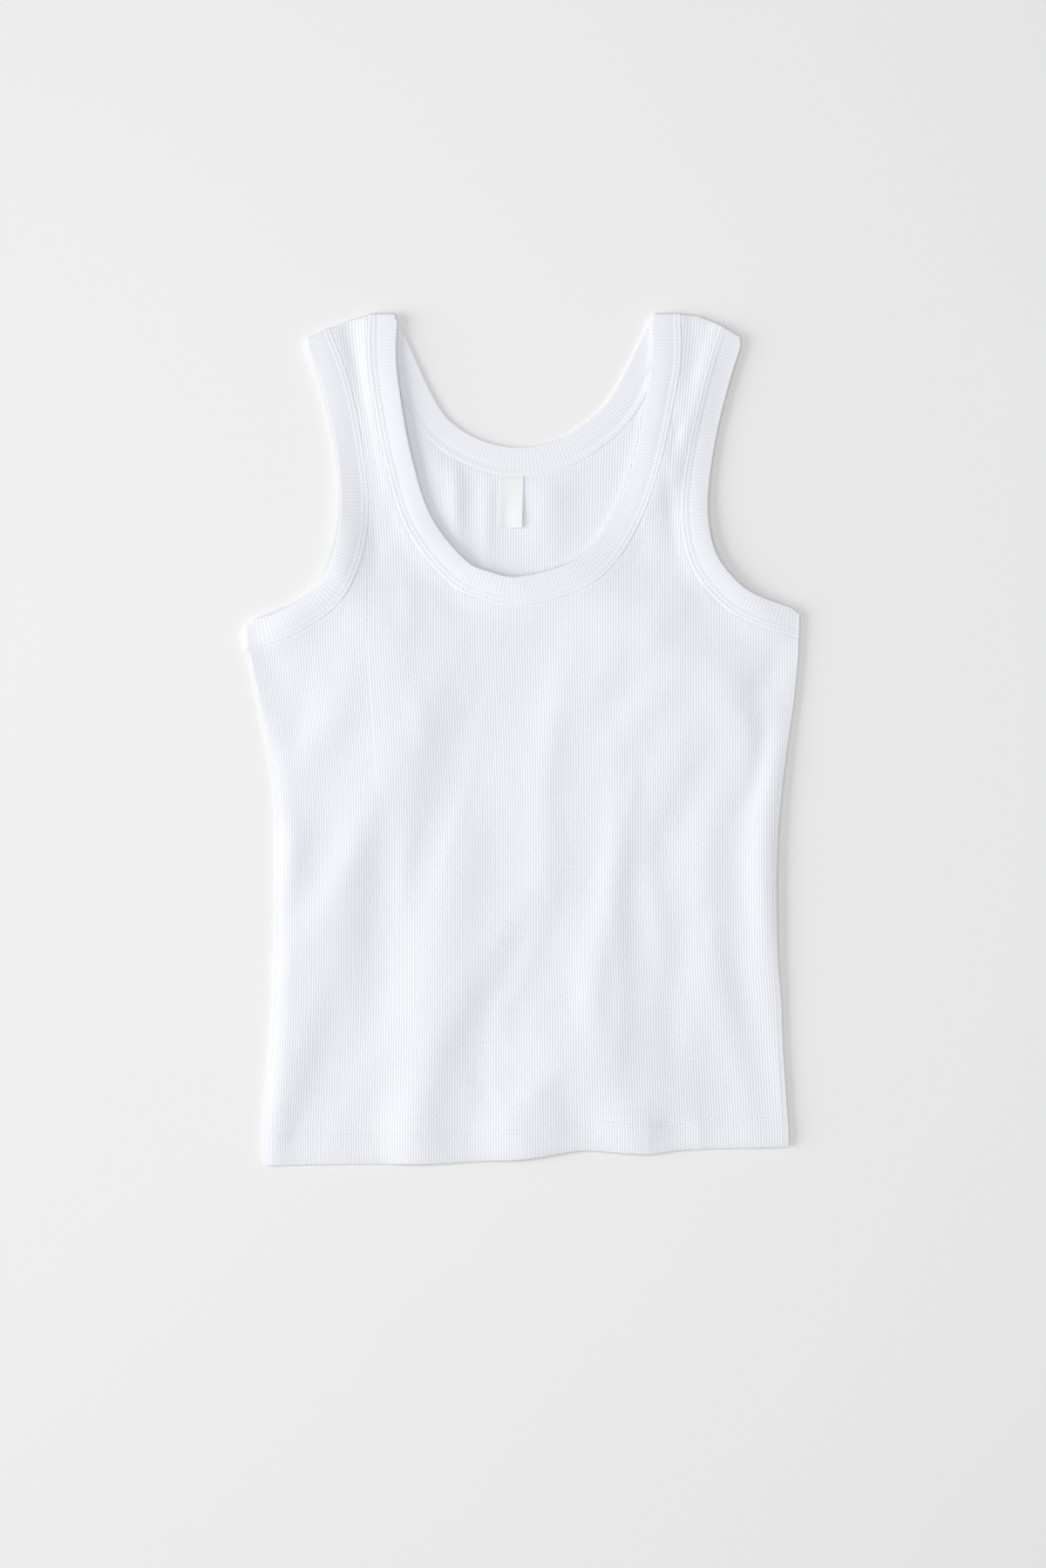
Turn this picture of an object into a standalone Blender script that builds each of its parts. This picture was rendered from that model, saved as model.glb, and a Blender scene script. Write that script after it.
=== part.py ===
"""Ribbed tank top laid flat on its back, front up, built from the pieces that a maker cuts.

The frame: +X to the viewer's right, +Y from hem to shoulders, +Z up from the surface that the
cloth lies on. The origin is the middle of the garment's footprint, on that surface.

The front and back panels are walls of cloth lofted through sections from hem to shoulder, with
the knit's ribs raised on the face that shows. Three bindings close the neck and the armholes:
each is a ring that runs along the front, folds over at the shoulder and comes back along the
back. The sizes are in millimetres in the tables, and MM turns them into metres.
"""

import math
from collections import namedtuple

import bmesh
import bpy
from mathutils import Vector

MM = 0.001

# Cloth
PANEL_WALL = 1.2
BINDING_WALL = 1.8
LABEL_WALL = 1.0
RIB_PITCH = 1.8
RIB_RELIEF = 0.4
SEAM_GAP = 0.3

# Bindings, hem and label
BINDING_WIDTH = 18.6
EDGE_ROLL = 0.9  # how far in from a binding's free edge its faces begin to round over
EDGE_FLAT = 0.55  # the share of its thickness that the free edge keeps
BINDING_STEP = 6.0
HEM_DEPTH = 20.0
HEM_RELIEF = 0.5
HEM_SLOPE = 1.2
LABEL_WIDTH = 15.6
LABEL_DROP = 35.5
LABEL_CENTRE_X = -7.6
LABEL_TILT = 0.9

# How the front layer lies over the back one, as heights of its underside
FRONT_REST = 2.5
SHOULDER_REST = 3.4
SHOULDER_RISE = (150.0, 285.0)  # the heights up the garment between which the straps rise
SIDE_SEAM_REST = PANEL_WALL + SEAM_GAP
UNDERARM_REST = BINDING_WALL + SEAM_GAP + 0.1
UNDERARM_RISE = (2.0, 30.0)  # distances in from the side between which a binding rises
FOLD_TAPER = 0.12  # the share of a half wave by which a fold's ends are cut off
SIDE_ROLL_REACH = 5.0
SIDE_ROLL = (8.0, 6.0, 1.3)  # distance in from the side edge, width, height
SIDE_ROLL_TOP = (40.0, 70.0)  # the heights between which the roll fades away
SIDE_ROUNDING = (2.2, 0.6)  # reach, drop
BACK_HEM_RISE = 1.5
SHOULDER_SEAM = 8.0  # how far behind the fold the shoulder seam lies

# Mesh density
PANEL_ROWS = 6
STRAP_ROWS = (0.08, 0.17, 0.26, 0.36, 0.47, 0.58, 0.68, 0.77, 0.85, 0.93, 1.0)  # shares of the way up a strap
CURL_ROWS = 4
PLAIN_STEP = 6  # the plain face has one column for each of these on the ribbed face
OUTLINE_STEP = 4.0
CURVE_SAMPLE = 0.5

# The back's inner face shows its ribs inside the neck: how far out and how far down they go
BACK_RIBS_REACH = 88.2
BACK_RIBS_FOOT = 82.0
RIB_RISE = 2.0

# The body's sections, from hem to underarm: the side edges at each height.
Section = namedtuple("Section", "height left right")
BODY_SECTIONS = (
    Section(-294.0, -176.5, 182.5),
    Section(-272.0, -178.0, 183.0),
    Section(-242.0, -175.0, 181.0),
    Section(-212.0, -172.5, 179.0),
    Section(-182.0, -170.5, 178.0),
    Section(-152.0, -169.5, 175.5),
    Section(-98.0, -168.5, 174.5),
    Section(-68.0, -168.5, 175.5),
    Section(-32.0, -170.5, 178.5),
    Section(-2.0, -175.5, 182.5),
    Section(28.0, -182.0, 187.0),
    Section(58.0, -188.5, 190.0),
    Section(66.0, -190.0, 190.0),
)

# The hem's lower edge, from left to right.
EdgePoint = namedtuple("EdgePoint", "x y")
HEM_EDGE = (
    EdgePoint(-180.0, -293.5),
    EdgePoint(-120.0, -292.5),
    EdgePoint(-60.0, -292.0),
    EdgePoint(-24.0, -290.0),
    EdgePoint(0.0, -289.0),
    EdgePoint(30.0, -284.5),
    EdgePoint(45.0, -283.0),
    EdgePoint(84.0, -285.5),
    EdgePoint(114.0, -282.5),
    EdgePoint(184.0, -280.5),
)

# The free edges of the bindings. Each armhole runs from the shoulder fold to the underarm, and
# each neckline from the left shoulder fold to the right one.
FRONT_ARMHOLE_LEFT = (
    EdgePoint(-150.3, 274.5),
    EdgePoint(-138.3, 244.5),
    EdgePoint(-128.7, 208.5),
    EdgePoint(-124.7, 176.0),
    EdgePoint(-125.1, 148.5),
    EdgePoint(-130.5, 124.5),
    EdgePoint(-140.7, 105.3),
    EdgePoint(-158.7, 90.3),
    EdgePoint(-188.5, 80.7),
)
FRONT_ARMHOLE_RIGHT = (
    EdgePoint(151.5, 274.5),
    EdgePoint(143.1, 244.5),
    EdgePoint(134.1, 208.5),
    EdgePoint(128.0, 172.0),
    EdgePoint(127.7, 148.5),
    EdgePoint(132.3, 128.1),
    EdgePoint(142.5, 111.9),
    EdgePoint(158.7, 98.7),
    EdgePoint(188.5, 88.5),
)
FRONT_NECK = (
    EdgePoint(-85.5, 290.0),
    EdgePoint(-87.5, 268.5),
    EdgePoint(-86.1, 244.5),
    EdgePoint(-78.3, 199.5),
    EdgePoint(-63.9, 154.5),
    EdgePoint(-39.9, 124.5),
    EdgePoint(0.0, 111.9),
    EdgePoint(39.9, 124.5),
    EdgePoint(63.3, 156.3),
    EdgePoint(78.3, 196.5),
    EdgePoint(86.7, 244.5),
    EdgePoint(89.0, 268.5),
    EdgePoint(88.0, 290.5),
)
BACK_ARMHOLE_LEFT = (
    EdgePoint(-150.3, 274.5),
    EdgePoint(-132.3, 244.5),
    EdgePoint(-122.1, 208.5),
    EdgePoint(-119.7, 170.0),
    EdgePoint(-120.9, 148.5),
    EdgePoint(-127.5, 124.5),
    EdgePoint(-141.9, 105.3),
    EdgePoint(-165.0, 91.5),
    EdgePoint(-188.5, 80.7),
)
BACK_ARMHOLE_RIGHT = (
    EdgePoint(151.5, 274.5),
    EdgePoint(135.3, 244.5),
    EdgePoint(126.3, 208.5),
    EdgePoint(122.9, 170.0),
    EdgePoint(123.5, 148.5),
    EdgePoint(129.9, 124.5),
    EdgePoint(145.5, 105.9),
    EdgePoint(167.7, 92.1),
    EdgePoint(188.5, 88.5),
)
BACK_NECK = (
    EdgePoint(-85.5, 290.0),
    EdgePoint(-80.0, 275.0),
    EdgePoint(-59.7, 233.7),
    EdgePoint(-45.3, 216.3),
    EdgePoint(-24.3, 204.3),
    EdgePoint(0.0, 200.3),
    EdgePoint(23.7, 205.5),
    EdgePoint(41.7, 216.3),
    EdgePoint(59.7, 234.3),
    EdgePoint(79.0, 272.0),
    EdgePoint(88.0, 290.5),
)

# The way that each binding lies across at its two ends, from its free edge to its seam.
ACROSS_NECK_LEFT = Vector((-1.0, 0.0))
ACROSS_NECK_RIGHT = Vector((1.0, 0.0))
ACROSS_ARM_LEFT = Vector((0.947, 0.322))
ACROSS_ARM_RIGHT = Vector((-0.932, 0.362))
ACROSS_UNDERARM = Vector((0.0, -1.0))
UP = Vector((0.0, 0.0, 1.0))

# Soft folds of the front: a crest line through three points, its width and its height.
Fold = namedtuple("Fold", "x0 y0 x1 y1 x2 y2 width height")
FRONT_FOLDS = (
    Fold(-105, -25, -119, -92, -130, -158, 11, 1.6),
    Fold(-12, 35, -42, -80, -62, -180, 13, 2.0),
    Fold(-60, -170, -66, -240, -68, -300, 13, 2.3),
    Fold(-72, 90, -78, -2, -88, -52, 12, 1.3),
    Fold(32, 55, 20, -2, 12, -105, 11, 1.3),
    Fold(70, -30, 64, -92, 49, -200, 10, 1.8),
    Fold(120, -20, 125, -92, 132, -200, 9, 1.5),
    Fold(114, 52, 84, -8, 72, -55, 10, 1.2),
    Fold(-123, 46, -141, -2, -156, -26, 8, 0.9),
    Fold(-132, -152, -150, -200, -169, -285, 9, 1.4),
    Fold(160, 58, 148, 28, 150, -12, 8, 1.1),
    Fold(15, -215, 14, -250, 12, -290, 10, 1.1),
    Fold(60, -212, 80, -260, 84, -290, 10, 1.3),
    Fold(12, -120, -2, -170, -6, -215, 9, 1.0),
    Fold(-86, 300, -88, 245, -72, 180, 15, 2.6),
    Fold(88, 300, 90, 245, 76, 180, 14, 0.9),
)

CLOTH_COLOUR = (0.87, 0.875, 0.90, 1.0)
LABEL_COLOUR = (0.93, 0.94, 0.955, 1.0)


# ---------------------------------------------------------------- curves and small functions


def smooth_step(value, start, end):
    """0 before start, 1 after end, and a smooth rise between."""
    share = min(1.0, max(0.0, (value - start) / (end - start)))
    return share * share * (3.0 - 2.0 * share)


def smooth_curve(points):
    """Points every CURVE_SAMPLE along a Catmull-Rom curve through the given ones."""
    knots = [Vector(point) for point in points]
    knots = [2 * knots[0] - knots[1]] + knots + [2 * knots[-1] - knots[-2]]
    curve = []
    for before, start, end, after in zip(knots, knots[1:], knots[2:], knots[3:]):
        count = max(2, round((end - start).length / CURVE_SAMPLE))
        for step in range(count):
            t = step / count
            curve.append(
                0.5
                * (
                    2 * start
                    + (end - before) * t
                    + (2 * before - 5 * start + 4 * end - after) * t**2
                    + (3 * start - before - 3 * end + after) * t**3
                )
            )
    return curve + [knots[-2]]


def lengths_along(curve):
    """The distance from the curve's start to each of its points."""
    total = [0.0]
    for start, end in zip(curve, curve[1:]):
        total.append(total[-1] + (end - start).length)
    return total


def point_at(curve, along, distance):
    """The point at a distance along a curve, whose lengths_along are given."""
    low, high = 0, len(curve) - 1
    while high - low > 1:
        middle = (low + high) // 2
        if along[middle] > distance:
            high = middle
        else:
            low = middle
    share = (distance - along[low]) / max(along[high] - along[low], 1e-9)
    return curve[low].lerp(curve[high], min(1.0, max(0.0, share)))


def spaced(curve, count):
    """count + 1 points at equal distances along a curve."""
    along = lengths_along(curve)
    return [point_at(curve, along, along[-1] * step / count) for step in range(count + 1)]


def value_on(table, key, value, at):
    """A table's value at a key between its rows, by straight lines."""
    rows = sorted(table, key=lambda row: getattr(row, key))
    if at <= getattr(rows[0], key):
        return getattr(rows[0], value)
    for low, high in zip(rows, rows[1:]):
        if at <= getattr(high, key):
            share = (at - getattr(low, key)) / (getattr(high, key) - getattr(low, key))
            return getattr(low, value) + share * (getattr(high, value) - getattr(low, value))
    return getattr(rows[-1], value)


def across_directions(curve, side, first, last):
    """The way across a binding at each point: square to its free edge, but as given at its two ends."""
    along = lengths_along(curve)
    ways = []
    for index, distance in enumerate(along):
        ahead = curve[min(index + 1, len(curve) - 1)] - curve[max(index - 1, 0)]
        way = Vector((-ahead.y, ahead.x)).normalized() * side
        near_first = 1.0 - smooth_step(distance, 0.0, BINDING_WIDTH)
        near_last = smooth_step(distance, along[-1] - BINDING_WIDTH, along[-1])
        way = way.lerp(first, near_first).lerp(last, near_last)
        ways.append(way.normalized())
    return ways


class Binding:
    """One layer's stretch of a binding: its free edge and the way across it at each point."""

    def __init__(self, points, side, first, last):
        self.edge = smooth_curve(points)
        self.across = across_directions(self.edge, side, first, last)

    def line(self, width):
        """The line at that distance in from the free edge."""
        return [point + way * width for point, way in zip(self.edge, self.across)]


def bindings_of(neck, left, right):
    """The three bindings of one layer."""
    return {
        "neck": Binding(neck, -1, ACROSS_NECK_LEFT, ACROSS_NECK_RIGHT),
        "left": Binding(left, 1, ACROSS_ARM_LEFT, ACROSS_UNDERARM),
        "right": Binding(right, -1, ACROSS_ARM_RIGHT, ACROSS_UNDERARM),
    }


LAYERS = {
    "front": bindings_of(FRONT_NECK, FRONT_ARMHOLE_LEFT, FRONT_ARMHOLE_RIGHT),
    "back": bindings_of(BACK_NECK, BACK_ARMHOLE_LEFT, BACK_ARMHOLE_RIGHT),
}


# ---------------------------------------------------------------- how the cloth lies


def fold_height(fold, x, y):
    """One fold's height at a point: a soft ridge along its crest, tapered at both ends."""
    corners = (Vector((fold.x0, fold.y0)), Vector((fold.x1, fold.y1)), Vector((fold.x2, fold.y2)))
    spans = [(end - start).length for start, end in zip(corners, corners[1:])]
    nearest, place, passed = 1e9, 0.0, 0.0
    for start, end, span in zip(corners, corners[1:], spans):
        share = (Vector((x, y)) - start).dot(end - start) / span**2
        share = min(1.0, max(0.0, share))
        distance = (Vector((x, y)) - start.lerp(end, share)).length
        if distance < nearest:
            nearest, place = distance, (passed + share * span) / sum(spans)
        passed += span
    taper = math.sin(math.pi * (FOLD_TAPER + (1.0 - 2.0 * FOLD_TAPER) * place))
    return fold.height * taper * math.exp(-((nearest / fold.width) ** 2))


def front_rest(x, y):
    """The height of the front layer's underside, away from its side seams."""
    rise = smooth_step(y, *SHOULDER_RISE) * (SHOULDER_REST - FRONT_REST)
    return FRONT_REST + rise + sum(fold_height(fold, x, y) for fold in FRONT_FOLDS)


def side_edges(y):
    """The garment's left and right edges at a height."""
    return value_on(BODY_SECTIONS, "height", "left", y), value_on(BODY_SECTIONS, "height", "right", y)


def front_panel_rest(x, y):
    """The height of the front panel's underside: down to the seam at each side, over a soft roll."""
    left, right = side_edges(y)
    inside = min(x - left, right - x)
    held = smooth_step(inside, 0.0, SIDE_ROLL_REACH)
    place, width, height = SIDE_ROLL
    roll = height * math.exp(-(((inside - place) / width) ** 2)) * (1.0 - smooth_step(y, *SIDE_ROLL_TOP))
    return SIDE_SEAM_REST + held * (front_rest(x, y) + roll - SIDE_SEAM_REST)


def side_rounding(x, y):
    """How far the front's face drops where it turns over at the side."""
    left, right = side_edges(y)
    reach, drop = SIDE_ROUNDING
    return drop * (1.0 - smooth_step(min(x - left, right - x), -reach, reach))


# ---------------------------------------------------------------- panels


class Column:
    """One line of the knit from the hem up: its place at the chest, and where it ends."""

    def __init__(self, chest_x, top):
        self.chest_x = chest_x
        self.top = top

    def at(self, y):
        """Its place across at a height. The ribs near a side lean with it."""
        left, right = side_edges(y)
        chest = BODY_SECTIONS[-1]
        share = (self.chest_x - chest.left) / (chest.right - chest.left)
        lean_left = (left - chest.left) * (1.0 - share) ** 2
        lean_right = (right - chest.right) * share**2
        return self.chest_x + lean_left + lean_right


def height_at_x(line, x):
    """The height of a line where it passes x."""
    for start, end in zip(line, line[1:]):
        if min(start.x, end.x) <= x <= max(start.x, end.x) and start.x != end.x:
            return start.lerp(end, (x - start.x) / (end.x - start.x)).y
    return min((line[0], line[-1]), key=lambda point: abs(point.x - x)).y


def waist_of(line, side):
    """The index of the point of an armhole's seam that lies nearest the middle of the garment."""
    return max(range(len(line)), key=lambda index: -side * line[index].x)


class PanelCut:
    """The front's cut: its seams along neck and armholes, its straps and its columns."""

    def __init__(self):
        neck = seam_of("front", "neck")
        lowest = min(range(len(neck)), key=lambda index: neck[index].y)
        self.strap_neck, self.strap_arm, self.under, base = {}, {}, {}, {}
        for side, sign in (("left", -1), ("right", 1)):
            arm = seam_of("front", side)
            waist = waist_of(arm, sign)
            half = neck[:lowest] if side == "left" else neck[lowest:][::-1]
            cut = min(range(len(half)), key=lambda index: abs(half[index].y - arm[waist].y))
            self.strap_arm[side] = arm[: waist + 1][::-1]
            self.strap_neck[side] = half[: cut + 1][::-1]
            self.under[side] = arm[waist:]
            base[side] = (arm[waist], half[cut])
        self.neckline = [point for point in neck if point.y <= max(base["left"][1].y, base["right"][1].y) + 1]
        chest = BODY_SECTIONS[-1]
        start, end = Vector((chest.left, 0.0)), Vector((chest.right, 0.0))
        self.marks = [start, *base["left"], *base["right"][::-1], end]
        self.columns, self.keys = self.cut_columns()

    def cut_columns(self):
        """The columns, and the numbers of those where one stretch of the top gives way to the next."""
        columns, keys = [], [0]
        for stretch, (start, end) in enumerate(zip(self.marks, self.marks[1:])):
            count = round((end.x - start.x) / (RIB_PITCH / 2) / PLAIN_STEP) * PLAIN_STEP
            for step in range(0 if not columns else 1, count + 1):
                place = start.lerp(end, step / count)
                columns.append(Column(place.x, self.top_of(stretch, place)))
            keys.append(len(columns) - 1)
        return columns, keys

    def top_of(self, stretch, place):
        """The height at which a column ends: at an armhole, a strap's base or the neckline."""
        lines = {0: self.under["left"], 2: self.neckline, 4: self.under["right"]}
        return height_at_x(lines[stretch], place.x) if stretch in lines else place.y


def seam_of(layer, name):
    """A panel's edge along one binding, a seam's gap away from it."""
    return LAYERS[layer][name].line(BINDING_WIDTH + SEAM_GAP)


class Wall:
    """A closed wall of cloth: a ribbed face, a plain face with fewer columns, and the rim between them."""

    def __init__(self):
        self.mesh = bmesh.new()

    def verts(self, points):
        """New vertices at points given in millimetres."""
        return [self.mesh.verts.new(point * MM) for point in points]

    def face(self, *corners):
        """A new face through its corners, unless fewer than three of them differ."""
        unique = list(dict.fromkeys(corners))
        if len(unique) > 2:
            self.mesh.faces.new(unique)

    def grid(self, rows):
        """Faces between the rows, each a list of vertices. A row may have more of them than the next."""
        for low, high in zip(rows, rows[1:]):
            cells = min(len(low), len(high)) - 1
            low_step, high_step = (len(low) - 1) // cells, (len(high) - 1) // cells
            for cell in range(cells):
                under = low[cell * low_step : (cell + 1) * low_step + 1]
                over = high[cell * high_step : (cell + 1) * high_step + 1]
                self.face(*under, *over[::-1])

    def finish(self, name, material):
        """Turns the faces outwards and makes the object."""
        bmesh.ops.recalc_face_normals(self.mesh, faces=self.mesh.faces)
        return add_object(name, self.mesh, material)


def add_object(name, mesh, material):
    """Makes a named object from a bmesh, shaded smooth but for its sharp edges."""
    data = bpy.data.meshes.new(name)
    mesh.to_mesh(data)
    mesh.free()
    data.shade_smooth()
    data.set_sharp_from_angle(angle=math.radians(50))
    data.materials.append(material)
    made = bpy.data.objects.new(name, data)
    bpy.context.scene.collection.objects.link(made)
    return made


def rib_relief(index):
    """A rib's crest stands on every second column."""
    return RIB_RELIEF * (index % 2)


class Row:
    """One row across the front's body: how far up it lies, and whether the hem's fold thickens it."""

    def __init__(self, above_edge, share, is_hem):
        self.above_edge = above_edge
        self.share = share
        self.is_hem = is_hem

    def place(self, column):
        """Where the row crosses a column, in plan."""
        edge = value_on(HEM_EDGE, "x", "y", column.at(HEM_EDGE[0].y))
        start = edge + self.above_edge
        y = start + (column.top - start) * self.share
        return Vector((column.at(y), y))


def front_rows():
    """The front's rows: the hem's edge and its top, the cloth beside it, and the rows above."""
    foot = HEM_DEPTH + HEM_SLOPE
    rows = [Row(0.0, 0.0, True), Row(HEM_DEPTH, 0.0, True), Row(foot, 0.0, False)]
    return rows + [Row(foot, step / PANEL_ROWS, False) for step in range(1, PANEL_ROWS + 1)]


def curl(point, low, high, angle):
    """A point carried round the shoulder fold from one layer's middle to the other's, and its way out."""
    way = Vector((0.0, math.sin(angle), math.cos(angle)))
    centre = Vector((point.x, point.y, (high + low) / 2))
    return centre + way * ((high - low) / 2), way


def across(start, end, count):
    """count + 1 points from one to the other."""
    return [start.lerp(end, step / count) for step in range(count + 1)]


def make_front_panel(material):
    """The front: from the hem to the neck and armholes, its straps carried over the shoulders."""
    cut = PanelCut()
    wall = Wall()
    ribbed, plain = [], []
    rows = front_rows()
    for row in rows:
        relief = HEM_RELIEF if row.is_hem else 0.0
        low = [row.place(column) for column in cut.columns]
        low = [Vector((p.x, p.y, front_panel_rest(p.x, p.y))) for p in low]
        raised = [PANEL_WALL + relief + rib_relief(i) - side_rounding(p.x, p.y) for i, p in enumerate(low)]
        step = 1 if row is rows[-1] else PLAIN_STEP
        ribbed.append(wall.verts([p + UP * height for p, height in zip(low, raised)]))
        plain.append(wall.verts(low[::step]))
    wall.grid(ribbed)
    wall.grid(plain)
    wall.grid([ribbed[0], plain[0]])
    for end in (0, -1):
        wall.grid([[row[end] for row in ribbed], [row[end] for row in plain]])
    keys = cut.keys
    for start, end in ((keys[0], keys[1]), (keys[2], keys[3]), (keys[4], keys[5])):
        wall.grid([ribbed[-1][start : end + 1], plain[-1][start : end + 1]])
    for side, start, end in (("left", keys[1], keys[2]), ("right", keys[3], keys[4])):
        add_strap(wall, cut, side, ribbed[-1][start : end + 1], plain[-1][start : end + 1], start)
    return wall.finish("front_panel", material)


def add_strap(wall, cut, side, ribbed_base, plain_base, first_index):
    """A strap from its base up to the fold, round it, and down to the shoulder seam."""
    count = len(ribbed_base) - 1
    ribbed, plain = [ribbed_base], [plain_base]

    def add_row(middles, ways):
        half = PANEL_WALL / 2
        reliefs = [rib_relief(first_index + index) * max(0.0, way.z) for index, way in enumerate(ways)]
        outer = [p + way * (half + relief) for p, way, relief in zip(middles, ways, reliefs)]
        inner = [p - way * half for p, way in zip(middles, ways)]
        ribbed.append(wall.verts(outer))
        plain.append(wall.verts(inner[::PLAIN_STEP]))

    seams = [cut.strap_arm[side], cut.strap_neck[side]]
    ends = [shoulder_end(seam_of("back", side)[::-1], SHOULDER_SEAM)]
    ends.append(shoulder_end(neck_half("back", side), SHOULDER_SEAM))
    if side == "right":
        seams, ends = seams[::-1], ends[::-1]
    lengths = [lengths_along(seam) for seam in seams]
    for share in STRAP_ROWS:
        start, end = (point_at(seam, along, along[-1] * share) for seam, along in zip(seams, lengths))
        row = across(start, end, count)
        middles = [Vector((p.x, p.y, front_rest(p.x, p.y) + PANEL_WALL / 2)) for p in row]
        add_row(middles, [UP] * len(middles))
    for step in range(1, CURL_ROWS + 1):
        angle = math.pi * step / CURL_ROWS
        add_row(*zip(*[curl(p, PANEL_WALL / 2, p.z, angle) for p in middles]))
    row = across(*ends, count)
    add_row([Vector((p.x, p.y, PANEL_WALL / 2)) for p in row], [-UP] * len(row))
    wall.grid(ribbed)
    wall.grid(plain)
    for end in (0, -1):
        wall.grid([[row[end] for row in ribbed], [row[end] for row in plain]])
    wall.grid([ribbed[-1], plain[-1]])


def neck_half(layer, side):
    """One half of a layer's neck seam, from the middle up to the shoulder fold."""
    neck = seam_of(layer, "neck")
    lowest = min(range(len(neck)), key=lambda index: neck[index].y)
    return neck[: lowest + 1][::-1] if side == "left" else neck[lowest:]


def shoulder_end(seam, short_by):
    """The point of a seam that lies that far before its end at the shoulder fold."""
    along = lengths_along(seam)
    return point_at(seam, along, along[-1] - short_by)


def shortened(seam):
    """A seam line that ends at the shoulder seam, and not at the fold."""
    short_by = SHOULDER_SEAM + SEAM_GAP
    along = lengths_along(seam)
    kept = [point for point, distance in zip(seam, along) if distance < along[-1] - short_by]
    return kept + [shoulder_end(seam, short_by)]


def stepped(curve, step):
    """Points about a step apart along a curve."""
    return spaced(curve, max(1, round(lengths_along(curve)[-1] / step)))


def back_outline(side):
    """Half of the back's outline, from the middle of the hem to the ribs at the neck."""
    sign = -1 if side == "left" else 1
    hem = [Vector((p.x, p.y + BACK_HEM_RISE)) for p in HEM_EDGE if p.x * sign > 0]
    hem.sort(key=lambda point: abs(point.x))
    edge = [Vector((getattr(row, side), row.height)) for row in BODY_SECTIONS]
    arm = shortened(seam_of("back", side)[::-1])
    neck = shortened(neck_half("back", side))
    neck = [point for point in neck if abs(point.x) > BACK_RIBS_REACH][::-1]
    hem = [point for point in hem if abs(point.x) < abs(edge[0].x)]
    corner = Vector((getattr(BODY_SECTIONS[0], side), hem[-1].y))
    edge = [point for point in edge if corner.y < point.y < arm[0].y]
    under = Vector((side_edges(arm[0].y)[0 if side == "left" else 1], arm[0].y))
    return hem + [corner] + edge + [under] + stepped(arm, OUTLINE_STEP) + stepped(neck, OUTLINE_STEP)


def make_back_panel(material):
    """The back: flat on the surface, with ribs on its inner face where the neck shows it."""
    wall = Wall()
    columns = round(2 * BACK_RIBS_REACH / (RIB_PITCH / 2) / PLAIN_STEP) * PLAIN_STEP
    seam = seam_of("back", "neck")
    places = [-BACK_RIBS_REACH + 2 * BACK_RIBS_REACH * step / columns for step in range(columns + 1)]
    tops = [height_at_x(seam, x) for x in places]
    flat = [Vector((x, BACK_RIBS_FOOT, PANEL_WALL)) for x in places]
    reliefs = [rib_relief(index) for index in range(columns + 1)]
    low = [p + Vector((0.0, RIB_RISE, relief)) for p, relief in zip(flat, reliefs)]
    high = [Vector((p.x, y, p.z)) for p, y in zip(low, tops)]
    rows = [wall.verts(row) for row in (flat[::PLAIN_STEP], low, high)]
    wall.grid(rows)
    left, right = (
        wall.verts([Vector((p.x, p.y, PANEL_WALL)) for p in back_outline(side)]) for side in ("left", "right")
    )
    coarse, rise, seam_row = rows
    notch = [seam_row[-1], rise[-1], *coarse[::-1], rise[0], seam_row[0]]
    wall.face(*right, *notch, *left[::-1])
    outline = right + seam_row[::-1] + left[::-1]
    under = wall.verts([Vector((vert.co.x / MM, vert.co.y / MM, 0.0)) for vert in outline])
    wall.grid([outline + outline[:1], under + under[:1]])
    wall.face(*under)
    return wall.finish("back_panel", material)


# ---------------------------------------------------------------- bindings


def binding_profile(free, seam, way):
    """The binding's section at one station: rounded at the free edge, square at the seam."""
    half = way * (BINDING_WALL / 2)
    inside = free + (seam - free).normalized() * EDGE_ROLL
    tip = half * EDGE_FLAT
    return [seam + half, inside + half, free + tip, free - tip, inside - half, seam - half]


def binding_stations(binding):
    """Pairs of free-edge and seam points along one layer of a binding, in plan."""
    seam = binding.line(BINDING_WIDTH)
    along = lengths_along(binding.edge)
    count = round(along[-1] / BINDING_STEP)
    pairs = []
    for step in range(count + 1):
        distance = along[-1] * step / count
        pairs.append((point_at(binding.edge, along, distance), point_at(seam, along, distance)))
    return pairs


def upper(pair):
    """A station on the front layer."""
    ends = [Vector((p.x, p.y, binding_rest(p) + BINDING_WALL / 2)) for p in pair]
    return ends, UP


def binding_rest(point):
    """The height of a front binding's underside: lower where it turns at the underarm."""
    left, right = BODY_SECTIONS[-1].left, BODY_SECTIONS[-1].right
    inside = min(point.x - left, right - point.x)
    rise = front_rest(point.x, point.y) - UNDERARM_REST
    return UNDERARM_REST + smooth_step(inside, *UNDERARM_RISE) * rise


def lower(pair):
    """A station on the back layer, flat on the surface."""
    ends = [Vector((p.x, p.y, BINDING_WALL / 2)) for p in pair]
    return ends, -UP


def shoulder_turn(pair):
    """Stations round the shoulder fold, from the front layer to the back one."""
    (free, seam), _ = upper(pair)
    for step in range(1, CURL_ROWS):
        angle = math.pi * step / CURL_ROWS
        (free_turned, way), (seam_turned, _) = (curl(p, BINDING_WALL / 2, p.z, angle) for p in (free, seam))
        yield [free_turned, seam_turned], way


def underarm_turn(pair, outward):
    """Stations round the side at the underarm, from the front layer to the back one."""
    ends, _ = upper(pair)
    for step in range(1, CURL_ROWS):
        angle = math.pi * step / CURL_ROWS
        way = Vector((outward * math.sin(angle), 0.0, math.cos(angle)))
        radii = [(p.z - BINDING_WALL / 2) / 2 for p in ends]
        yield [p + (way - UP) * radius for p, radius in zip(ends, radii)], way


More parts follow.
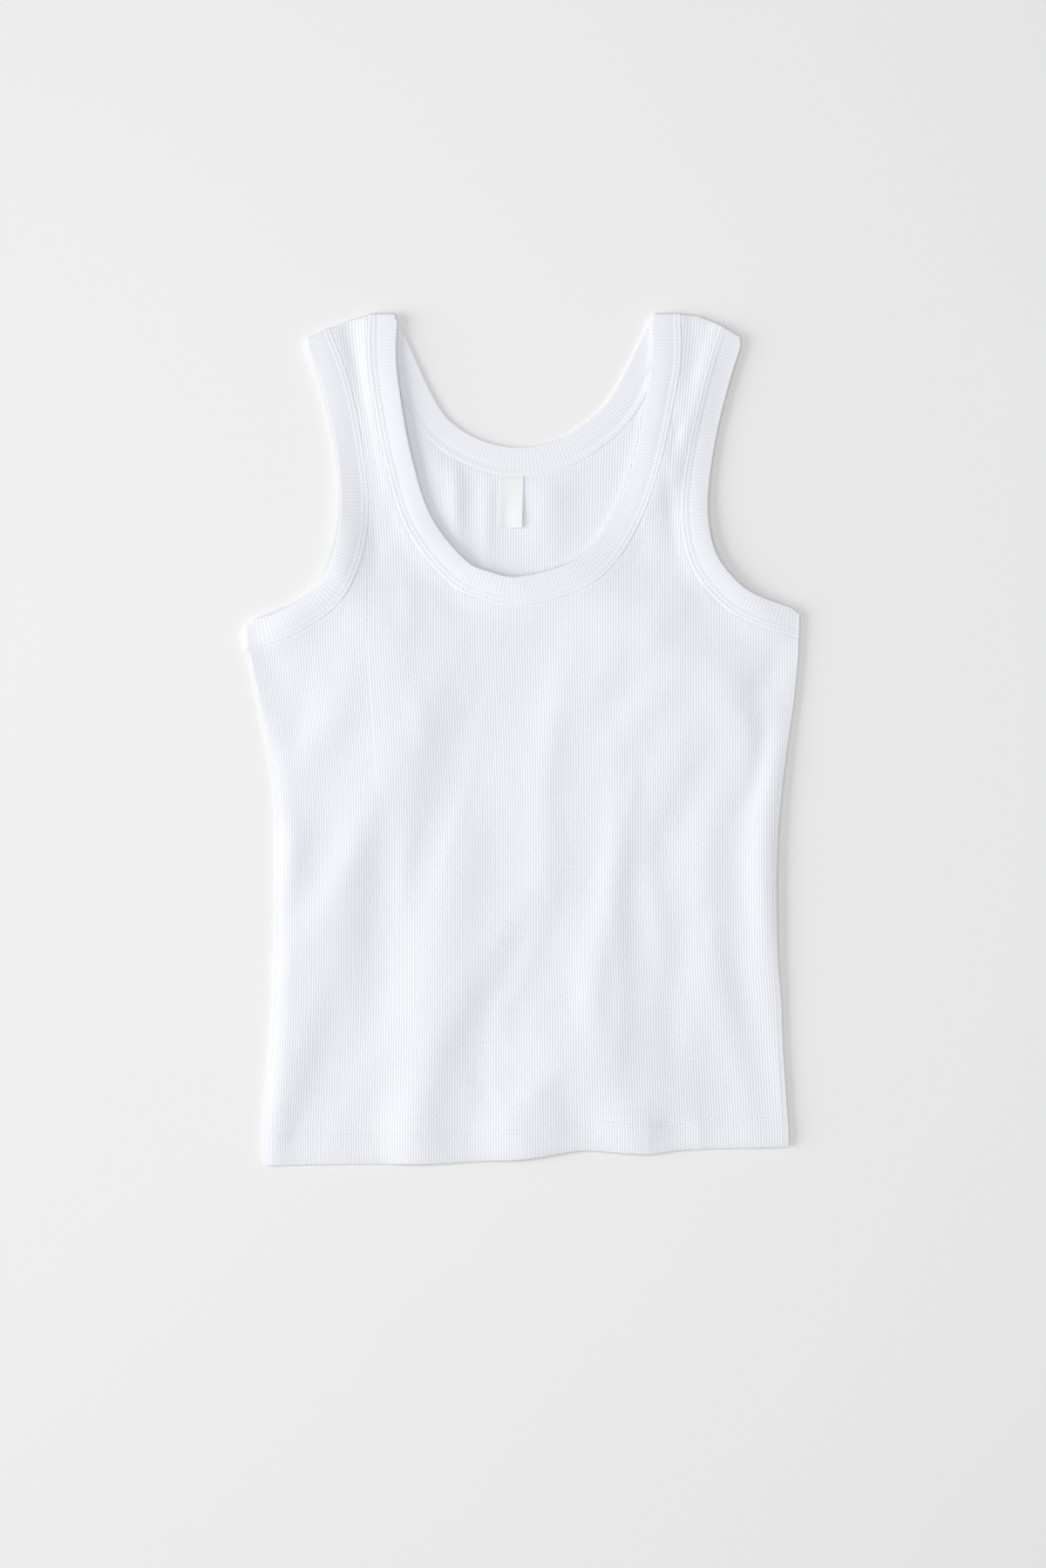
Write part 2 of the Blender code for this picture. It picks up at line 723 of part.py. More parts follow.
def make_binding(name, stations, material):
    """A closed ring through its stations."""
    mesh = bmesh.new()
    rings = []
    for (free, seam), way in stations:
        rings.append([mesh.verts.new(point * MM) for point in binding_profile(free, seam, way)])
    for ring, after in zip(rings, rings[1:] + rings[:1]):
        for index in range(len(ring)):
            other = (index + 1) % len(ring)
            mesh.faces.new((ring[index], ring[other], after[other], after[index]))
    bmesh.ops.recalc_face_normals(mesh, faces=mesh.faces)
    return add_object(name, mesh, material)


def make_neck_binding(material):
    """The neck's ring: the front neckline, over the right shoulder, the back one, over the left."""
    front = binding_stations(LAYERS["front"]["neck"])
    back = binding_stations(LAYERS["back"]["neck"])
    stations = [upper(pair) for pair in front]
    stations += list(shoulder_turn(front[-1]))
    stations += [lower(pair) for pair in back[::-1]]
    stations += list(shoulder_turn(front[0]))[::-1]
    return make_binding("neck_binding", stations, material)


def make_armhole_binding(name, side, outward, material):
    """An armhole's ring: down the front, round the underarm, up the back and over the shoulder."""
    front = binding_stations(LAYERS["front"][side])
    back = binding_stations(LAYERS["back"][side])
    stations = [upper(pair) for pair in front]
    stations += list(underarm_turn(front[-1], outward))
    stations += [lower(pair) for pair in back[::-1]]
    stations += list(shoulder_turn(front[0]))[::-1]
    return make_binding(name, stations, material)


# ---------------------------------------------------------------- label and materials


def make_label(material):
    """The plain woven label that hangs from the back neck seam, over the back's inner face."""
    seam_y = min(point.y for point in LAYERS["back"]["neck"].line(BINDING_WIDTH))
    top = seam_y - SEAM_GAP
    rest = PANEL_WALL + RIB_RELIEF + SEAM_GAP
    mesh = bmesh.new()
    bmesh.ops.create_cube(mesh, size=1.0)
    for vert in mesh.verts:
        low_end = 0.5 - vert.co.y
        vert.co.x = (LABEL_CENTRE_X + vert.co.x * LABEL_WIDTH - low_end * LABEL_TILT) * MM
        vert.co.y = (top - low_end * LABEL_DROP) * MM
        vert.co.z = (rest + (vert.co.z + 0.5) * LABEL_WALL) * MM
    return add_object("neck_label", mesh, material)


def make_material(name, colour, roughness):
    """A cloth's colour and roughness."""
    material = bpy.data.materials.new(name)
    material.use_nodes = True
    shader = material.node_tree.nodes["Principled BSDF"]
    shader.inputs["Base Color"].default_value = colour
    shader.inputs["Roughness"].default_value = roughness
    shader.inputs["Metallic"].default_value = 0.0
    material.diffuse_color = colour
    return material


def main():
    """Builds every piece of the garment."""
    for thing in list(bpy.data.objects):
        bpy.data.objects.remove(thing)
    panel_cloth = make_material("panel_rib", CLOTH_COLOUR, 0.9)
    binding_cloth = make_material("binding_rib", CLOTH_COLOUR, 0.9)
    label_cloth = make_material("label_satin", LABEL_COLOUR, 0.6)
    make_front_panel(panel_cloth)
    make_back_panel(panel_cloth)
    make_neck_binding(binding_cloth)
    make_armhole_binding("armhole_binding_left", "left", -1.0, binding_cloth)
    make_armhole_binding("armhole_binding_right", "right", 1.0, binding_cloth)
    make_label(label_cloth)


main()
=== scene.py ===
"""Dresses the ribbed tank top: rib-knit panels, bound neck and armholes, coverstitching and label.

Every length in the tables and dataclasses is in millimetres, in the garment's own frame: +X to the
viewer's right, +Y from hem to shoulders, +Z up from the surface that the cloth lies on. A mesh is
written in metres.
"""

import logging
import math
from dataclasses import dataclass, field
from enum import Enum
from typing import Callable, Iterable, Sequence

import bmesh
import bpy
import numpy as np
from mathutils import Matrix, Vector


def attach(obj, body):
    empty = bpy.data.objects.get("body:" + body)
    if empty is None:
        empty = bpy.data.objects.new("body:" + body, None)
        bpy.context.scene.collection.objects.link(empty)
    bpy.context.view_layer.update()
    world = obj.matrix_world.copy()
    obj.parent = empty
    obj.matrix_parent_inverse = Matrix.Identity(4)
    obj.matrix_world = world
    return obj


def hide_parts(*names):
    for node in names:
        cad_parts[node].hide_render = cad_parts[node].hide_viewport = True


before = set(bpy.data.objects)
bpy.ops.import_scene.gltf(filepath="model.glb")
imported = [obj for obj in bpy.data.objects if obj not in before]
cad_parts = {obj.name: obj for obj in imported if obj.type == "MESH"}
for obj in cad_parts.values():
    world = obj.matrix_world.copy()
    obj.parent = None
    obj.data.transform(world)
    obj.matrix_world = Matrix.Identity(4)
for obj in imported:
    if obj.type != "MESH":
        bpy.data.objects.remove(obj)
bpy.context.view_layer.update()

MM = 0.001
BODY = "root"
CORNER = 2.2  # how far the bindings' corners are rounded at a fold, and over what reach
CORNER_REACH = 1.5 * CORNER
STATIONS_TO_A_RIB = 3.0
LOG = logging.getLogger("tank_top")

Plan = tuple[float, float]
SectionPoint = tuple[float, float, float]


class Layer(Enum):
    """The two layers of the garment as it lies."""

    FRONT = "front"
    BACK = "back"


class Side(Enum):
    """The wearer-independent sides of the laid garment, by the sign of x."""

    LEFT = -1
    RIGHT = 1


class Slot(Enum):
    """The record's material slots."""

    PANEL = "panel_rib"
    BINDING = "binding_rib"
    LABEL = "label_satin"


# ------------------------------------------------------------------------------ small functions


def smooth_step(value: np.ndarray, start: float, end: float) -> np.ndarray:
    """Eases from 0 at start to 1 at end.

    Args:
        value: The numbers to ease.
        start: Where the rise begins.
        end: Where it is complete.

    Returns:
        The eased shares, between 0 and 1.
    """
    share = np.clip((np.asarray(value, dtype=float) - start) / (end - start), 0.0, 1.0)
    return share * share * (3.0 - 2.0 * share)


def unevenness(x: np.ndarray, y: np.ndarray, wave: float, seed: float) -> np.ndarray:
    """A soft uneven field, as the hand leaves on laid cloth.

    Args:
        x: Places across, in millimetres.
        y: Places along, in millimetres.
        wave: The main wavelength.
        seed: A number that shifts the pattern.

    Returns:
        Values between about -1 and 1.
    """
    turn = 2.0 * math.pi / wave
    total = np.sin(turn * (0.83 * x + 0.31 * y) + 1.7 * seed)
    total += np.sin(turn * (0.47 * x - 0.92 * y) + 2.9 * seed + 1.3 * np.sin(turn * 0.37 * y + seed))
    total += np.sin(turn * (-0.21 * x + 0.58 * y) + 0.6 * seed + 1.1 * np.sin(turn * 0.53 * x))
    return total / 3.0


def read_rows(places: np.ndarray, known: np.ndarray, rows: np.ndarray) -> np.ndarray:
    """Reads rows of points at places between the known ones."""
    return np.stack([np.interp(places, known, column) for column in rows.T], axis=-1)


class PlanCurve:
    """A smooth line in plan that is read by the distance along it."""

    def __init__(self, points: np.ndarray) -> None:
        """Keeps the line's points, an array of n rows of x and y."""
        self.points = points
        steps = np.hypot(*np.diff(points, axis=0).T)
        self.along = np.concatenate(([0.0], np.cumsum(steps)))

    @classmethod
    def through(cls, knots: Sequence[Plan], spacing: float = 0.5) -> "PlanCurve":
        """Draws a Catmull-Rom curve.

        Args:
            knots: The points that it passes through.
            spacing: The distance between its own points.

        Returns:
            The curve.
        """
        known = np.array(knots, dtype=float)
        known = np.vstack((2 * known[0] - known[1], known, 2 * known[-1] - known[-2]))
        pieces = []
        for a, b, c, d in zip(known, known[1:], known[2:], known[3:]):
            count = max(2, round(float(np.hypot(*(c - b))) / spacing))
            t = (np.arange(count) / count)[:, None]
            square, cube = 2 * a - 5 * b + 4 * c - d, 3 * b - a - 3 * c + d
            pieces.append(0.5 * (2 * b + (c - a) * t + square * t**2 + cube * t**3))
        return cls(np.vstack(pieces + [known[-2:-1]]))

    @property
    def length(self) -> float:
        """The whole length."""
        return float(self.along[-1])

    def at(self, distance: np.ndarray) -> np.ndarray:
        """The points at those distances from the start, as rows of x and y."""
        return read_rows(distance, self.along, self.points)

    def height_at(self, x: np.ndarray) -> np.ndarray:
        """The y at which a line that never turns back in x passes each x."""
        order = np.argsort(self.points[:, 0])
        return np.interp(x, self.points[order, 0], self.points[order, 1])


# ------------------------------------------------------------------------------ the cut


@dataclass(frozen=True)
class BindingWidths:
    """Distances across a binding, from its free edge, and its thickness."""

    whole: float = 18.6
    tuck: float = 4.2  # how far the panel's edge goes in under the binding
    thickness: float = 2.1
    inner_row: float = 13.4
    outer_row: float = 16.3


@dataclass(frozen=True)
class EdgeLine:
    """One layer's stretch of a binding: its free edge, and the way across and width at each point."""

    edge: PlanCurve
    across: np.ndarray
    widths: np.ndarray

    @classmethod
    def drawn(cls, knots: Sequence[Plan], side: int, first: Plan, last: Plan,
              widths: Sequence[float]) -> "EdgeLine":
        """Draws the free edge and works out the ways across.

        Args:
            knots: The points of the free edge.
            side: 1 where the panel lies to the left of the edge's own direction, -1 to the right.
            first: The way across at the first end.
            last: The way across at the last end.
            widths: The binding's widths, evenly spread along the edge.

        Returns:
            The line.
        """
        edge = PlanCurve.through(knots)
        width = float(np.mean(widths))  # the stretch over which the ends' ways take over
        ahead = np.gradient(edge.points, axis=0)
        ways = np.stack((-ahead[:, 1], ahead[:, 0]), axis=1) * side
        ways /= np.hypot(*ways.T)[:, None]
        near_first = 1.0 - smooth_step(edge.along, 0.0, width)[:, None]
        near_last = smooth_step(edge.along, edge.length - width, edge.length)[:, None]
        ways = ways * (1 - near_first) + np.array(first) * near_first
        ways = ways * (1 - near_last) + np.array(last) * near_last
        ways /= np.hypot(*ways.T)[:, None]
        marks = np.linspace(0.0, edge.length, len(widths))
        ends = np.minimum(edge.along, edge.length - edge.along)
        corner = CORNER * np.exp(-((ends / CORNER_REACH) ** 2))
        rounded = PlanCurve(edge.points + ways * corner[:, None])
        return cls(rounded, ways, np.interp(edge.along, marks, widths) - corner)

    def stations(self, distance: np.ndarray) -> tuple[np.ndarray, np.ndarray, np.ndarray]:
        """The free edge's points, the ways across and the widths at those distances along it."""
        ways = read_rows(distance, self.edge.along, self.across)
        return self.edge.at(distance), ways, np.interp(distance, self.edge.along, self.widths)

    def line(self, short_by: float) -> PlanCurve:
        """The line inside the binding, that much short of its seam with the panel."""
        return PlanCurve(self.edge.points + self.across * (self.widths - short_by)[:, None])


@dataclass(frozen=True)
class Pattern:
    """The garment's outline as it lies: side edges by height, hem, and the bindings' free edges."""

    widths: BindingWidths = BindingWidths()
    heights: tuple[float, ...] = (-294, -272, -242, -212, -182, -152, -98, -68, -32, -2, 28, 58, 66)
    left_edge: tuple[float, ...] = (
        -176.5, -178, -175, -172.5, -170.5, -169.5, -168.5, -168.5, -170.5, -175.5, -182, -188.5, -190,
    )
    right_edge: tuple[float, ...] = (
        182.5, 183, 181, 179, 178, 175.5, 174.5, 175.5, 178.5, 182.5, 187, 190, 190,
    )
    hem: tuple[Plan, ...] = (
        (-180, -293.5), (-120, -292.5), (-60, -292), (-24, -290), (0, -289), (30, -284.5),
        (45, -283), (84, -285.5), (114, -282.5), (184, -280.5),
    )
    front_neck: tuple[Plan, ...] = (
        (-85.5, 290.7), (-87, 268.5), (-85.3, 244.6), (-77.6, 199.7), (-63.8, 154.6),
        (-40.4, 123.8), (-22.8, 114.9), (0, 111.8), (39.4, 125.2), (62.5, 156.7),
        (77.2, 196.8), (86, 244.6), (88.6, 268.5), (88, 290.9),
    )
    front_left: tuple[Plan, ...] = (
        (-150.3, 273.1), (-138.8, 244.3), (-130.1, 208.2), (-125.6, 175.9), (-125.9, 148.6),
        (-130.9, 124.6), (-140.7, 105.3), (-158.7, 92), (-173.5, 85.2), (-189.5, 80.7),
    )
    front_right: tuple[Plan, ...] = (
        (151.3, 274), (142, 244.8), (133.1, 208.7), (127.8, 172), (127.9, 148.5),
        (132.7, 128.2), (143.2, 112.5), (159.2, 99.6), (189.6, 88.5),
    )
    back_neck: tuple[Plan, ...] = (
        (-85.5, 290.7), (-80, 275), (-60.6, 233.2), (-46.1, 215.4), (-24.4, 204.1), (0, 200.5),
        (23.6, 205.8), (41.5, 216.5), (59.8, 234.2), (79.6, 271.7), (88, 290.9),
    )
    back_left: tuple[Plan, ...] = (
        (-150.3, 273.1), (-132.3, 244.5), (-122.1, 208.5), (-119.7, 170), (-120.9, 148.5),
        (-127.5, 124.5), (-141.9, 105.3), (-160, 92.7), (-173, 88.2), (-189.5, 80.7),
    )
    back_right: tuple[Plan, ...] = (
        (151.3, 274), (135.3, 244.5), (126.3, 208.5), (122.9, 170), (123.5, 148.5),
        (129.9, 124.5), (145.5, 105.9), (167.7, 92.1), (189.6, 88.5),
    )
    shoulders: tuple[Plan, ...] = (
        (-153, 271), (-149.8, 273.2), (-137.7, 280.1), (-129.3, 281.8), (-121.5, 285.6), (-116, 287.2),
        (-111, 288.5), (-107, 289.6), (-102, 290.4), (-84, 290.6), (86, 290.8), (107, 290.8),
        (113.7, 290.2), (119.7, 289.6), (125.7, 287.5), (134, 284.1), (143.7, 279.5), (149.7, 276.2),
        (153, 273.5),
    )  # the fold at the top of the two straps
    shoulder_ways: tuple[Plan, Plan] = ((0.92, 0.39), (-0.86, 0.51))  # in across the arm bindings there
    front_neck_widths: tuple[float, ...] = (
        20.4, 18.8, 18.4, 18.5, 18.9, 19.3, 20.3, 20, 19.8, 19, 19.2, 20.8, 20.4,
    )
    back_neck_widths: tuple[float, ...] = (20.4, 19.4, 19.2, 19.5, 20.2, 20.6, 20.6, 20.5, 20.4)
    left_arm_widths: tuple[float, ...] = (19.8, 19.3, 19, 18.5, 19.3, 19.8, 19, 18.8, 19.4)
    right_arm_widths: tuple[float, ...] = (18.6, 17.7, 17.2, 17.6, 18.4, 19.2, 19.2, 18.7, 18.9)

    def edge(self, side: Side, y: np.ndarray) -> np.ndarray:
        """The x of one side's edge at each height."""
        edges = self.left_edge if side is Side.LEFT else self.right_edge
        return np.interp(y, self.heights, edges)

    def inside(self, x: np.ndarray, y: np.ndarray) -> np.ndarray:
        """The distance in from the nearer side edge."""
        return np.minimum(x - self.edge(Side.LEFT, y), self.edge(Side.RIGHT, y) - x)

    def hem_at(self, x: np.ndarray) -> np.ndarray:
        """The hem's lower edge at each x."""
        return PlanCurve.through(self.hem).height_at(x)

    def neck_line(self, layer: Layer) -> EdgeLine:
        """The free edge of a layer's neck binding."""
        ends = (-1.0, 0.0), (1.0, 0.0)
        if layer is Layer.FRONT:
            return EdgeLine.drawn(self.front_neck, -1, *ends, self.front_neck_widths)
        return EdgeLine.drawn(self.back_neck, -1, *ends, self.back_neck_widths)

    def arm_line(self, layer: Layer, side: Side) -> EdgeLine:
        """The free edge of a layer's armhole binding, from the shoulder fold to the underarm."""
        down = (0.0, -1.0)
        if side is Side.LEFT:
            knots = self.front_left if layer is Layer.FRONT else self.back_left
            return EdgeLine.drawn(knots, 1, self.shoulder_ways[0], down, self.left_arm_widths)
        knots = self.front_right if layer is Layer.FRONT else self.back_right
        return EdgeLine.drawn(knots, -1, self.shoulder_ways[1], down, self.right_arm_widths)

    def lines(self, layer: Layer) -> tuple[EdgeLine, EdgeLine, EdgeLine]:
        """All three binding lines of a layer: neck, left armhole and right armhole."""
        return self.neck_line(layer), self.arm_line(layer, Side.LEFT), self.arm_line(layer, Side.RIGHT)


# ------------------------------------------------------------------------------ how it lies


@dataclass(frozen=True)
class Fold:
    """A soft fold of the cloth: its crest's two ends, how it bends, its half width and its height.

    A height under 0 is a trough. The bow is how far the crest's middle stands off the line between
    its ends, and the sway bends it into an S.
    """

    start: Plan
    end: Plan
    bow: float
    sway: float
    width: float
    height: float
    run_out: float = 1.3  # how softly the crest runs out at its ends

    def at(self, x: np.ndarray, y: np.ndarray) -> np.ndarray:
        """The fold's height at each place."""
        run = np.subtract(self.end, self.start)
        span = float(np.hypot(*run))
        way = run / span
        out_x, out_y = x - self.start[0], y - self.start[1]
        share = np.clip((out_x * way[0] + out_y * way[1]) / span, 0.0, 1.0)
        arch = 4.0 * share * (1.0 - share)
        gap = out_y * way[0] - out_x * way[1] - arch * (self.bow + self.sway * (2.0 * share - 1.0))
        return self.height * arch**self.run_out * np.exp(-((gap / self.width) ** 2))


def fold_table(rows: Iterable[Sequence[float]]) -> tuple[Fold, ...]:
    """Folds from rows of start x and y, end x and y, bow, sway, half width and height."""
    return tuple(Fold((x0, y0), (x1, y1), *form) for x0, y0, x1, y1, *form in rows)


# A fitting program worked out all but the last two of these rows, which were then rounded.
FRONT_FOLDS = fold_table((
    (-188, 251, -84, 40, -1, -1, 23, 3.3), (-145, 299, -105, 122, 3, 2, 5, 0.3),
    (-130, 330, -108, 186, 3, -1, 5.5, -0.9), (-127, 254, -104, 95, 6, 5, 8.5, -1.3),
    (-98, 330, -54, 134, -13, -1, 18, 1.3), (-82, 170, 31, 96, -18, 2, 12.5, 1.8),
    (98, 298, 75, 129, 7, -4, 12.5, 1.4), (144, 303, 82, 126, -1, -1, 9, 1.8),
    (-190, 81, -147, -13, 0, 1, 17.5, -1.2), (-189, 63, -118, 124, -3, -2, 14, 2.5),
    (-143, 66, -162, -35, 0, 0, 6.5, -0.3), (-114, 72, -173, -35, 14, -2, 14.5, 1.6),
    (-75, 41, -68, -6, 0, 0, 8.5, 0.6), (-45, 88, -87, -131, -7, -3, 14.5, 1.7),
    (89, 161, -138, -188, -9, 2, 24, -1.1), (43, 94, 22, -122, -15, -3, 11.5, 1.1),
    (-53, 150, 129, 39, 10, 2, 24, 2.3), (72, 78, 27, 6, 2, 0, 14.5, 1.1),
    (127, 67, 45, -29, -3, 1, 13.5, 1.5), (131, 5, 68, -115, 6, -1, 13.5, -1.3),
    (125, 100, 80, 54, -10, 1, 13.5, 1.2), (148, 65, 85, -85, -7, -1, 24, 1.5),
    (120, 70, 161, -37, 8, -2, 17, 1.6), (163, 34, 145, -57, 10, 3, 7.5, -1.2),
    (120, 184, 190, 71, -21, 5, 12.5, 1.6), (192, 75, 150, 14, -1, -3, 9.5, -1.2),
    (-164, -9, -175, -340, -1, 0, 24, 1.2), (-155, -45, -173, -116, 4, -1, 12.5, 1.9),
    (-152, -246, -145, -303, -3, 0, 10, -0.7), (-124, -152, -159, -289, 3, -3, 13, -1.3),
    (-68, 165, -187, -313, 16, 0, 20.5, 2.3), (-64, 50, -190, -207, 9, -3, 12, 1.1),
    (-80, -134, -169, -328, 0, 0, 15.5, -1), (-111, 26, -113, -234, 13, 2, 14.5, -1.1),
    (-38, -292, -169, -289, -1, 1, 5, -0.9), (-66, -194, -131, -306, 0, -1, 16, -0.9),
    (-78, -272, -111, -302, -3, 0, 24, -0.5), (-64, -232, -71, -330, 1, -2, 19, 1.9),
    (-36, -28, -88, -299, 0, -5, 19.5, 2.4), (-1, -65, -95, -340, -6, -1, 16, 2),
    (-24, -9, -29, -312, 9, 1, 17.5, -1.3), (-22, -208, -17, -263, -1, 1, 7, 0.6),
    (-79, -210, 54, -329, -2, 0, 14, 0.9), (32, -65, -47, -207, -5, -4, 12.5, 1.5),
    (-14, -79, 2, -312, -9, 0, 11, 0.8), (23, -84, -29, -222, 5, -3, 8.5, 0.7),
    (10, -222, -8, -329, 1, 0, 24, 0.7), (-31, -255, 34, -279, 0, 0, 24, 0.7),
    (-35, -260, 48, -271, 0, 0, 24, 0.8), (40, -212, -26, -271, 1, 1, 9, 0.7),
    (31, -250, -10, -273, -1, 0, 24, 0.6), (31, -253, -6, -254, -3, -1, 24, 0.6),
    (-23, -225, 102, -208, 0, -1, 24, 1.8), (69, -3, 42, -208, 6, 1, 11.5, 2),
    (51, -104, 65, -247, -10, 1, 14.5, 1.7), (-10, -192, 126, -281, -2, 0, 24, 1.5),
    (66, -103, 63, -233, 3, 2, 9, 1.1), (82, -249, 58, -281, 2, 0, 24, 1.4),
    (108, -219, 58, -289, 1, 0, 24, 0.9), (90, -52, 99, -155, -6, 3, 8.5, 0.8),
    (121, -269, 86, -271, -2, -3, 14.5, -1.5), (123, -102, 106, -252, -10, 0, 10.5, -0.8),
    (124, -176, 136, -326, 4, 0, 17, -1.2), (148, -6, 146, -220, -21, 6, 13.5, 1.3),
    (140, -124, 171, -275, 1, 3, 11, -1.2), (182, 22, 177, -193, -14, 1, 12, 2.9),
    (-106, 174, -103, 131, 1, 0, 3, -0.32), (-107, 305, -98, 206, -4, 0, 3, 0.23),
    (-90, 175, -109, 123, 8, -2, 5.5, -0.58), (-89, 183, -70, 136, -2, -1, 3, -0.33),
    (85, 153, 69, 120, 4, 0, 7, -0.52), (106, 280, 77, 148, 3, 0, 3, -0.2),
    (97, 190, 108, 116, 0, 0, 5, -0.54), (108, 199, 98, 169, 1, 2, 4.5, 0.48),
    (108, 313, 103, 224, 2, 0, 3, 0.23), (113, 226, 100, 190, -2, -1, 4, -0.58),
    (117, 247, 110, 199, -4, 2, 4.5, 0.5), (145, 292, 119, 163, -2, -3, 3, 0.31),
    (-190, 90, -153, 14, -10, 2, 9, -0.78), (-113, 153, -128, 105, -2, 3, 7.5, 0.8),
    (-106, 131, -130, 84, 4, 0, 3, -0.33), (-79, 110, -79, 72, 0, 0, 7.5, 0.45),
    (-105, 126, -19, 82, 3, 0, 9, -0.4), (-91, 142, -21, 68, 0, 0, 7.5, -0.32),
    (-26, 20, -62, -117, 1, -2, 6, 0.37), (-19, 55, -51, -9, 1, 0, 6.5, -0.33),
    (80, -11, 72, -62, -1, 0, 4.5, 0.32), (75, 128, 166, 88, -3, -1, 9, -0.47),
    (190, 111, 187, 31, 0, 0, 3.5, -0.68), (-128, -253, -181, -297, 2, -1, 9, -0.48),
    (-116, -278, -87, -302, -2, 0, 9, -0.47), (-71, -42, -81, -125, -5, -2, 6, 0.37),
    (127, -109, 125, -151, -2, 0, 4.5, -0.32), (102, -222, 192, -262, 2, -1, 9, -0.42),
    (-84, 304, -66, 150, -7, 0, 11, 1.3), (151, 300, 141, 100, -14, 0, 8, -0.7),
))

BACK_FOLDS = fold_table((
    (-75, 262, -50, 142, 3, 0, 8, 1.2), (-46.7, 220, -45.5, 116, 0, 0, 6.5, 1.8),
    (-24, 196, -26, 104, 0, 0, 6, 0.9), (14, 222, 18, 116, 0, 0, 15, 1.9),
))


@dataclass(frozen=True)
class Lie:
    """The heights of the two layers' middle surfaces as they lie on each other.

    A pair is for the left and the right side, or else the two ends of a stretch.
    """

    pattern: Pattern = Pattern()
    wall: float = 1.2
    front_rest: float = 3.0  # the front's underside on the body, and at the shoulders
    shoulder_rest: float = 2.5
    shoulder_rise: Plan = (240.0, 286.0)
    hem_drop: float = 0.5
    hem_rise: Plan = (-285.0, -255.0)
    arm_rise: Plan = (25.0, 62.0)  # the stretch up to the underarms, whose bindings hold the sides up
    side_sink: Plan = (0.25, 0.1)  # how far the cloth is lower near the sides, and over what reach
    sink_reach: Plan = (60.0, 40.0)
    waves: tuple[tuple[float, float, float], ...] = ((0.10, 46.0, 2.0), (0.05, 17.0, 5.0))
    least: Plan = (2.2, 1.05)  # the front's least height, and how much more it is under a binding
    least_ease: float = 0.25
    middle: Plan = (-30.0, 30.0)  # the stretch where the left side's values turn into the right's
    side_middle: Plan = (2.4, 3.2)  # the height of the cloth at a side where it lies flat
    side_follow: Plan = (0.55, 0.93)  # the share of a fold's height that reaches the side
    side_reach: Plan = (12.0, 10.0)
    underarm_middle: float = 3.25
    underarm_reach: float = 30.0
    side_foot: float = 0.65
    side_turn: Plan = (0.0, -0.15)
    side_lean: Plan = (2.0, 0.9)  # how far the sides' feet stand in from their widest line
    squareness: Plan = (0.5, 0.4)  # 1 is a round turn and less is a squarer one
    shoulder_turn: float = 0.6
    seam_lift: float = 0.5  # how much higher the front and the back lie under a binding
    back_lift: float = 0.45
    seam_lift_reach: float = 9.0

    def front(self, x: np.ndarray, y: np.ndarray, lift: np.ndarray) -> np.ndarray:
        """The front layer's middle surface.

        Args:
            x: Places across.
            y: Places along.
            lift: 1 at a binding, which is thicker than the panel, down to 0 away from it.

        Returns:
            The heights.
        """
        rest = self.front_rest + self.wall / 2 + self.seam_lift * lift
        rest = rest + smooth_step(y, *self.shoulder_rise) * (self.shoulder_rest - self.front_rest)
        rest = rest - self.hem_drop * (1.0 - smooth_step(y, *self.hem_rise))
        near_arm = smooth_step(y, *self.arm_rise)
        for side, sink, reach in zip(Side, self.side_sink, self.sink_reach):
            away = (x - self.pattern.edge(side, y)) * -side.value
            rest = rest - sink * (1.0 - near_arm) * (1.0 - smooth_step(away, 0.0, reach))
        rest = rest + sum(fold.at(x, y) for fold in FRONT_FOLDS)
        for height, wave, seed in self.waves:
            rest = rest + height * unevenness(x, y, wave, seed)
        least = self.least[0] + self.least[1] * lift
        rest = least + self.least_ease * np.logaddexp(0.0, (rest - least) / self.least_ease)
        inside = np.maximum(self.pattern.inside(x, y), 0.0)
        right = smooth_step(x, *self.middle)
        reach, side, share = (pair[0] + (pair[1] - pair[0]) * right
                              for pair in (self.side_reach, self.side_middle, self.side_follow))
        reach = reach + near_arm * (self.underarm_reach - reach)
        plain = self.front_rest + self.wall / 2
        follow = side + share * np.maximum(rest - plain, 0.0)
        side = follow + near_arm * (self.underarm_middle - follow)
        held = 1.0 - (1.0 - np.clip(inside / reach, 0.0, 1.0)) ** 2
        return side + held * (rest - side)

    def back(self, x: np.ndarray, y: np.ndarray, lift: np.ndarray) -> np.ndarray:
        """The back layer's middle surface, with the same arguments as the front's."""
        folds = sum(fold.at(x, y) for fold in BACK_FOLDS) * (1.0 - lift)
        return self.wall / 2 + self.back_lift * lift + folds


@dataclass(frozen=True)
class RibKnit:
    """The knit's ribs: their pitch, their relief, and the phases of the columns that draw one rib."""

    pitch: float = 1.8
    relief: float = 0.3
    phases: tuple[float, ...] = (0.0, 0.32, 0.68)

    def crest(self, number: np.ndarray) -> np.ndarray:
        """1 on a rib's crest and 0 in the groove, by the count of ribs from the edge."""
        phase = np.mod(number, 1.0)
        away = np.minimum(phase, 1.0 - phase)
        return np.clip(away / self.phases[1], 0.0, 1.0)

    def numbers(self, ribs: int) -> np.ndarray:
        """The column places of that many ribs, counted in ribs, with the last groove."""
        places = (np.arange(ribs)[:, None] + np.array(self.phases)[None, :]).ravel()
        return np.append(places, float(ribs))


# ------------------------------------------------------------------------------ meshes


@dataclass
class Patch:
    """A grid of cloth: its inner and outer points and its knit coordinates, each rows by columns by 3."""

    inner: np.ndarray
    outer: np.ndarray
    knit: np.ndarray


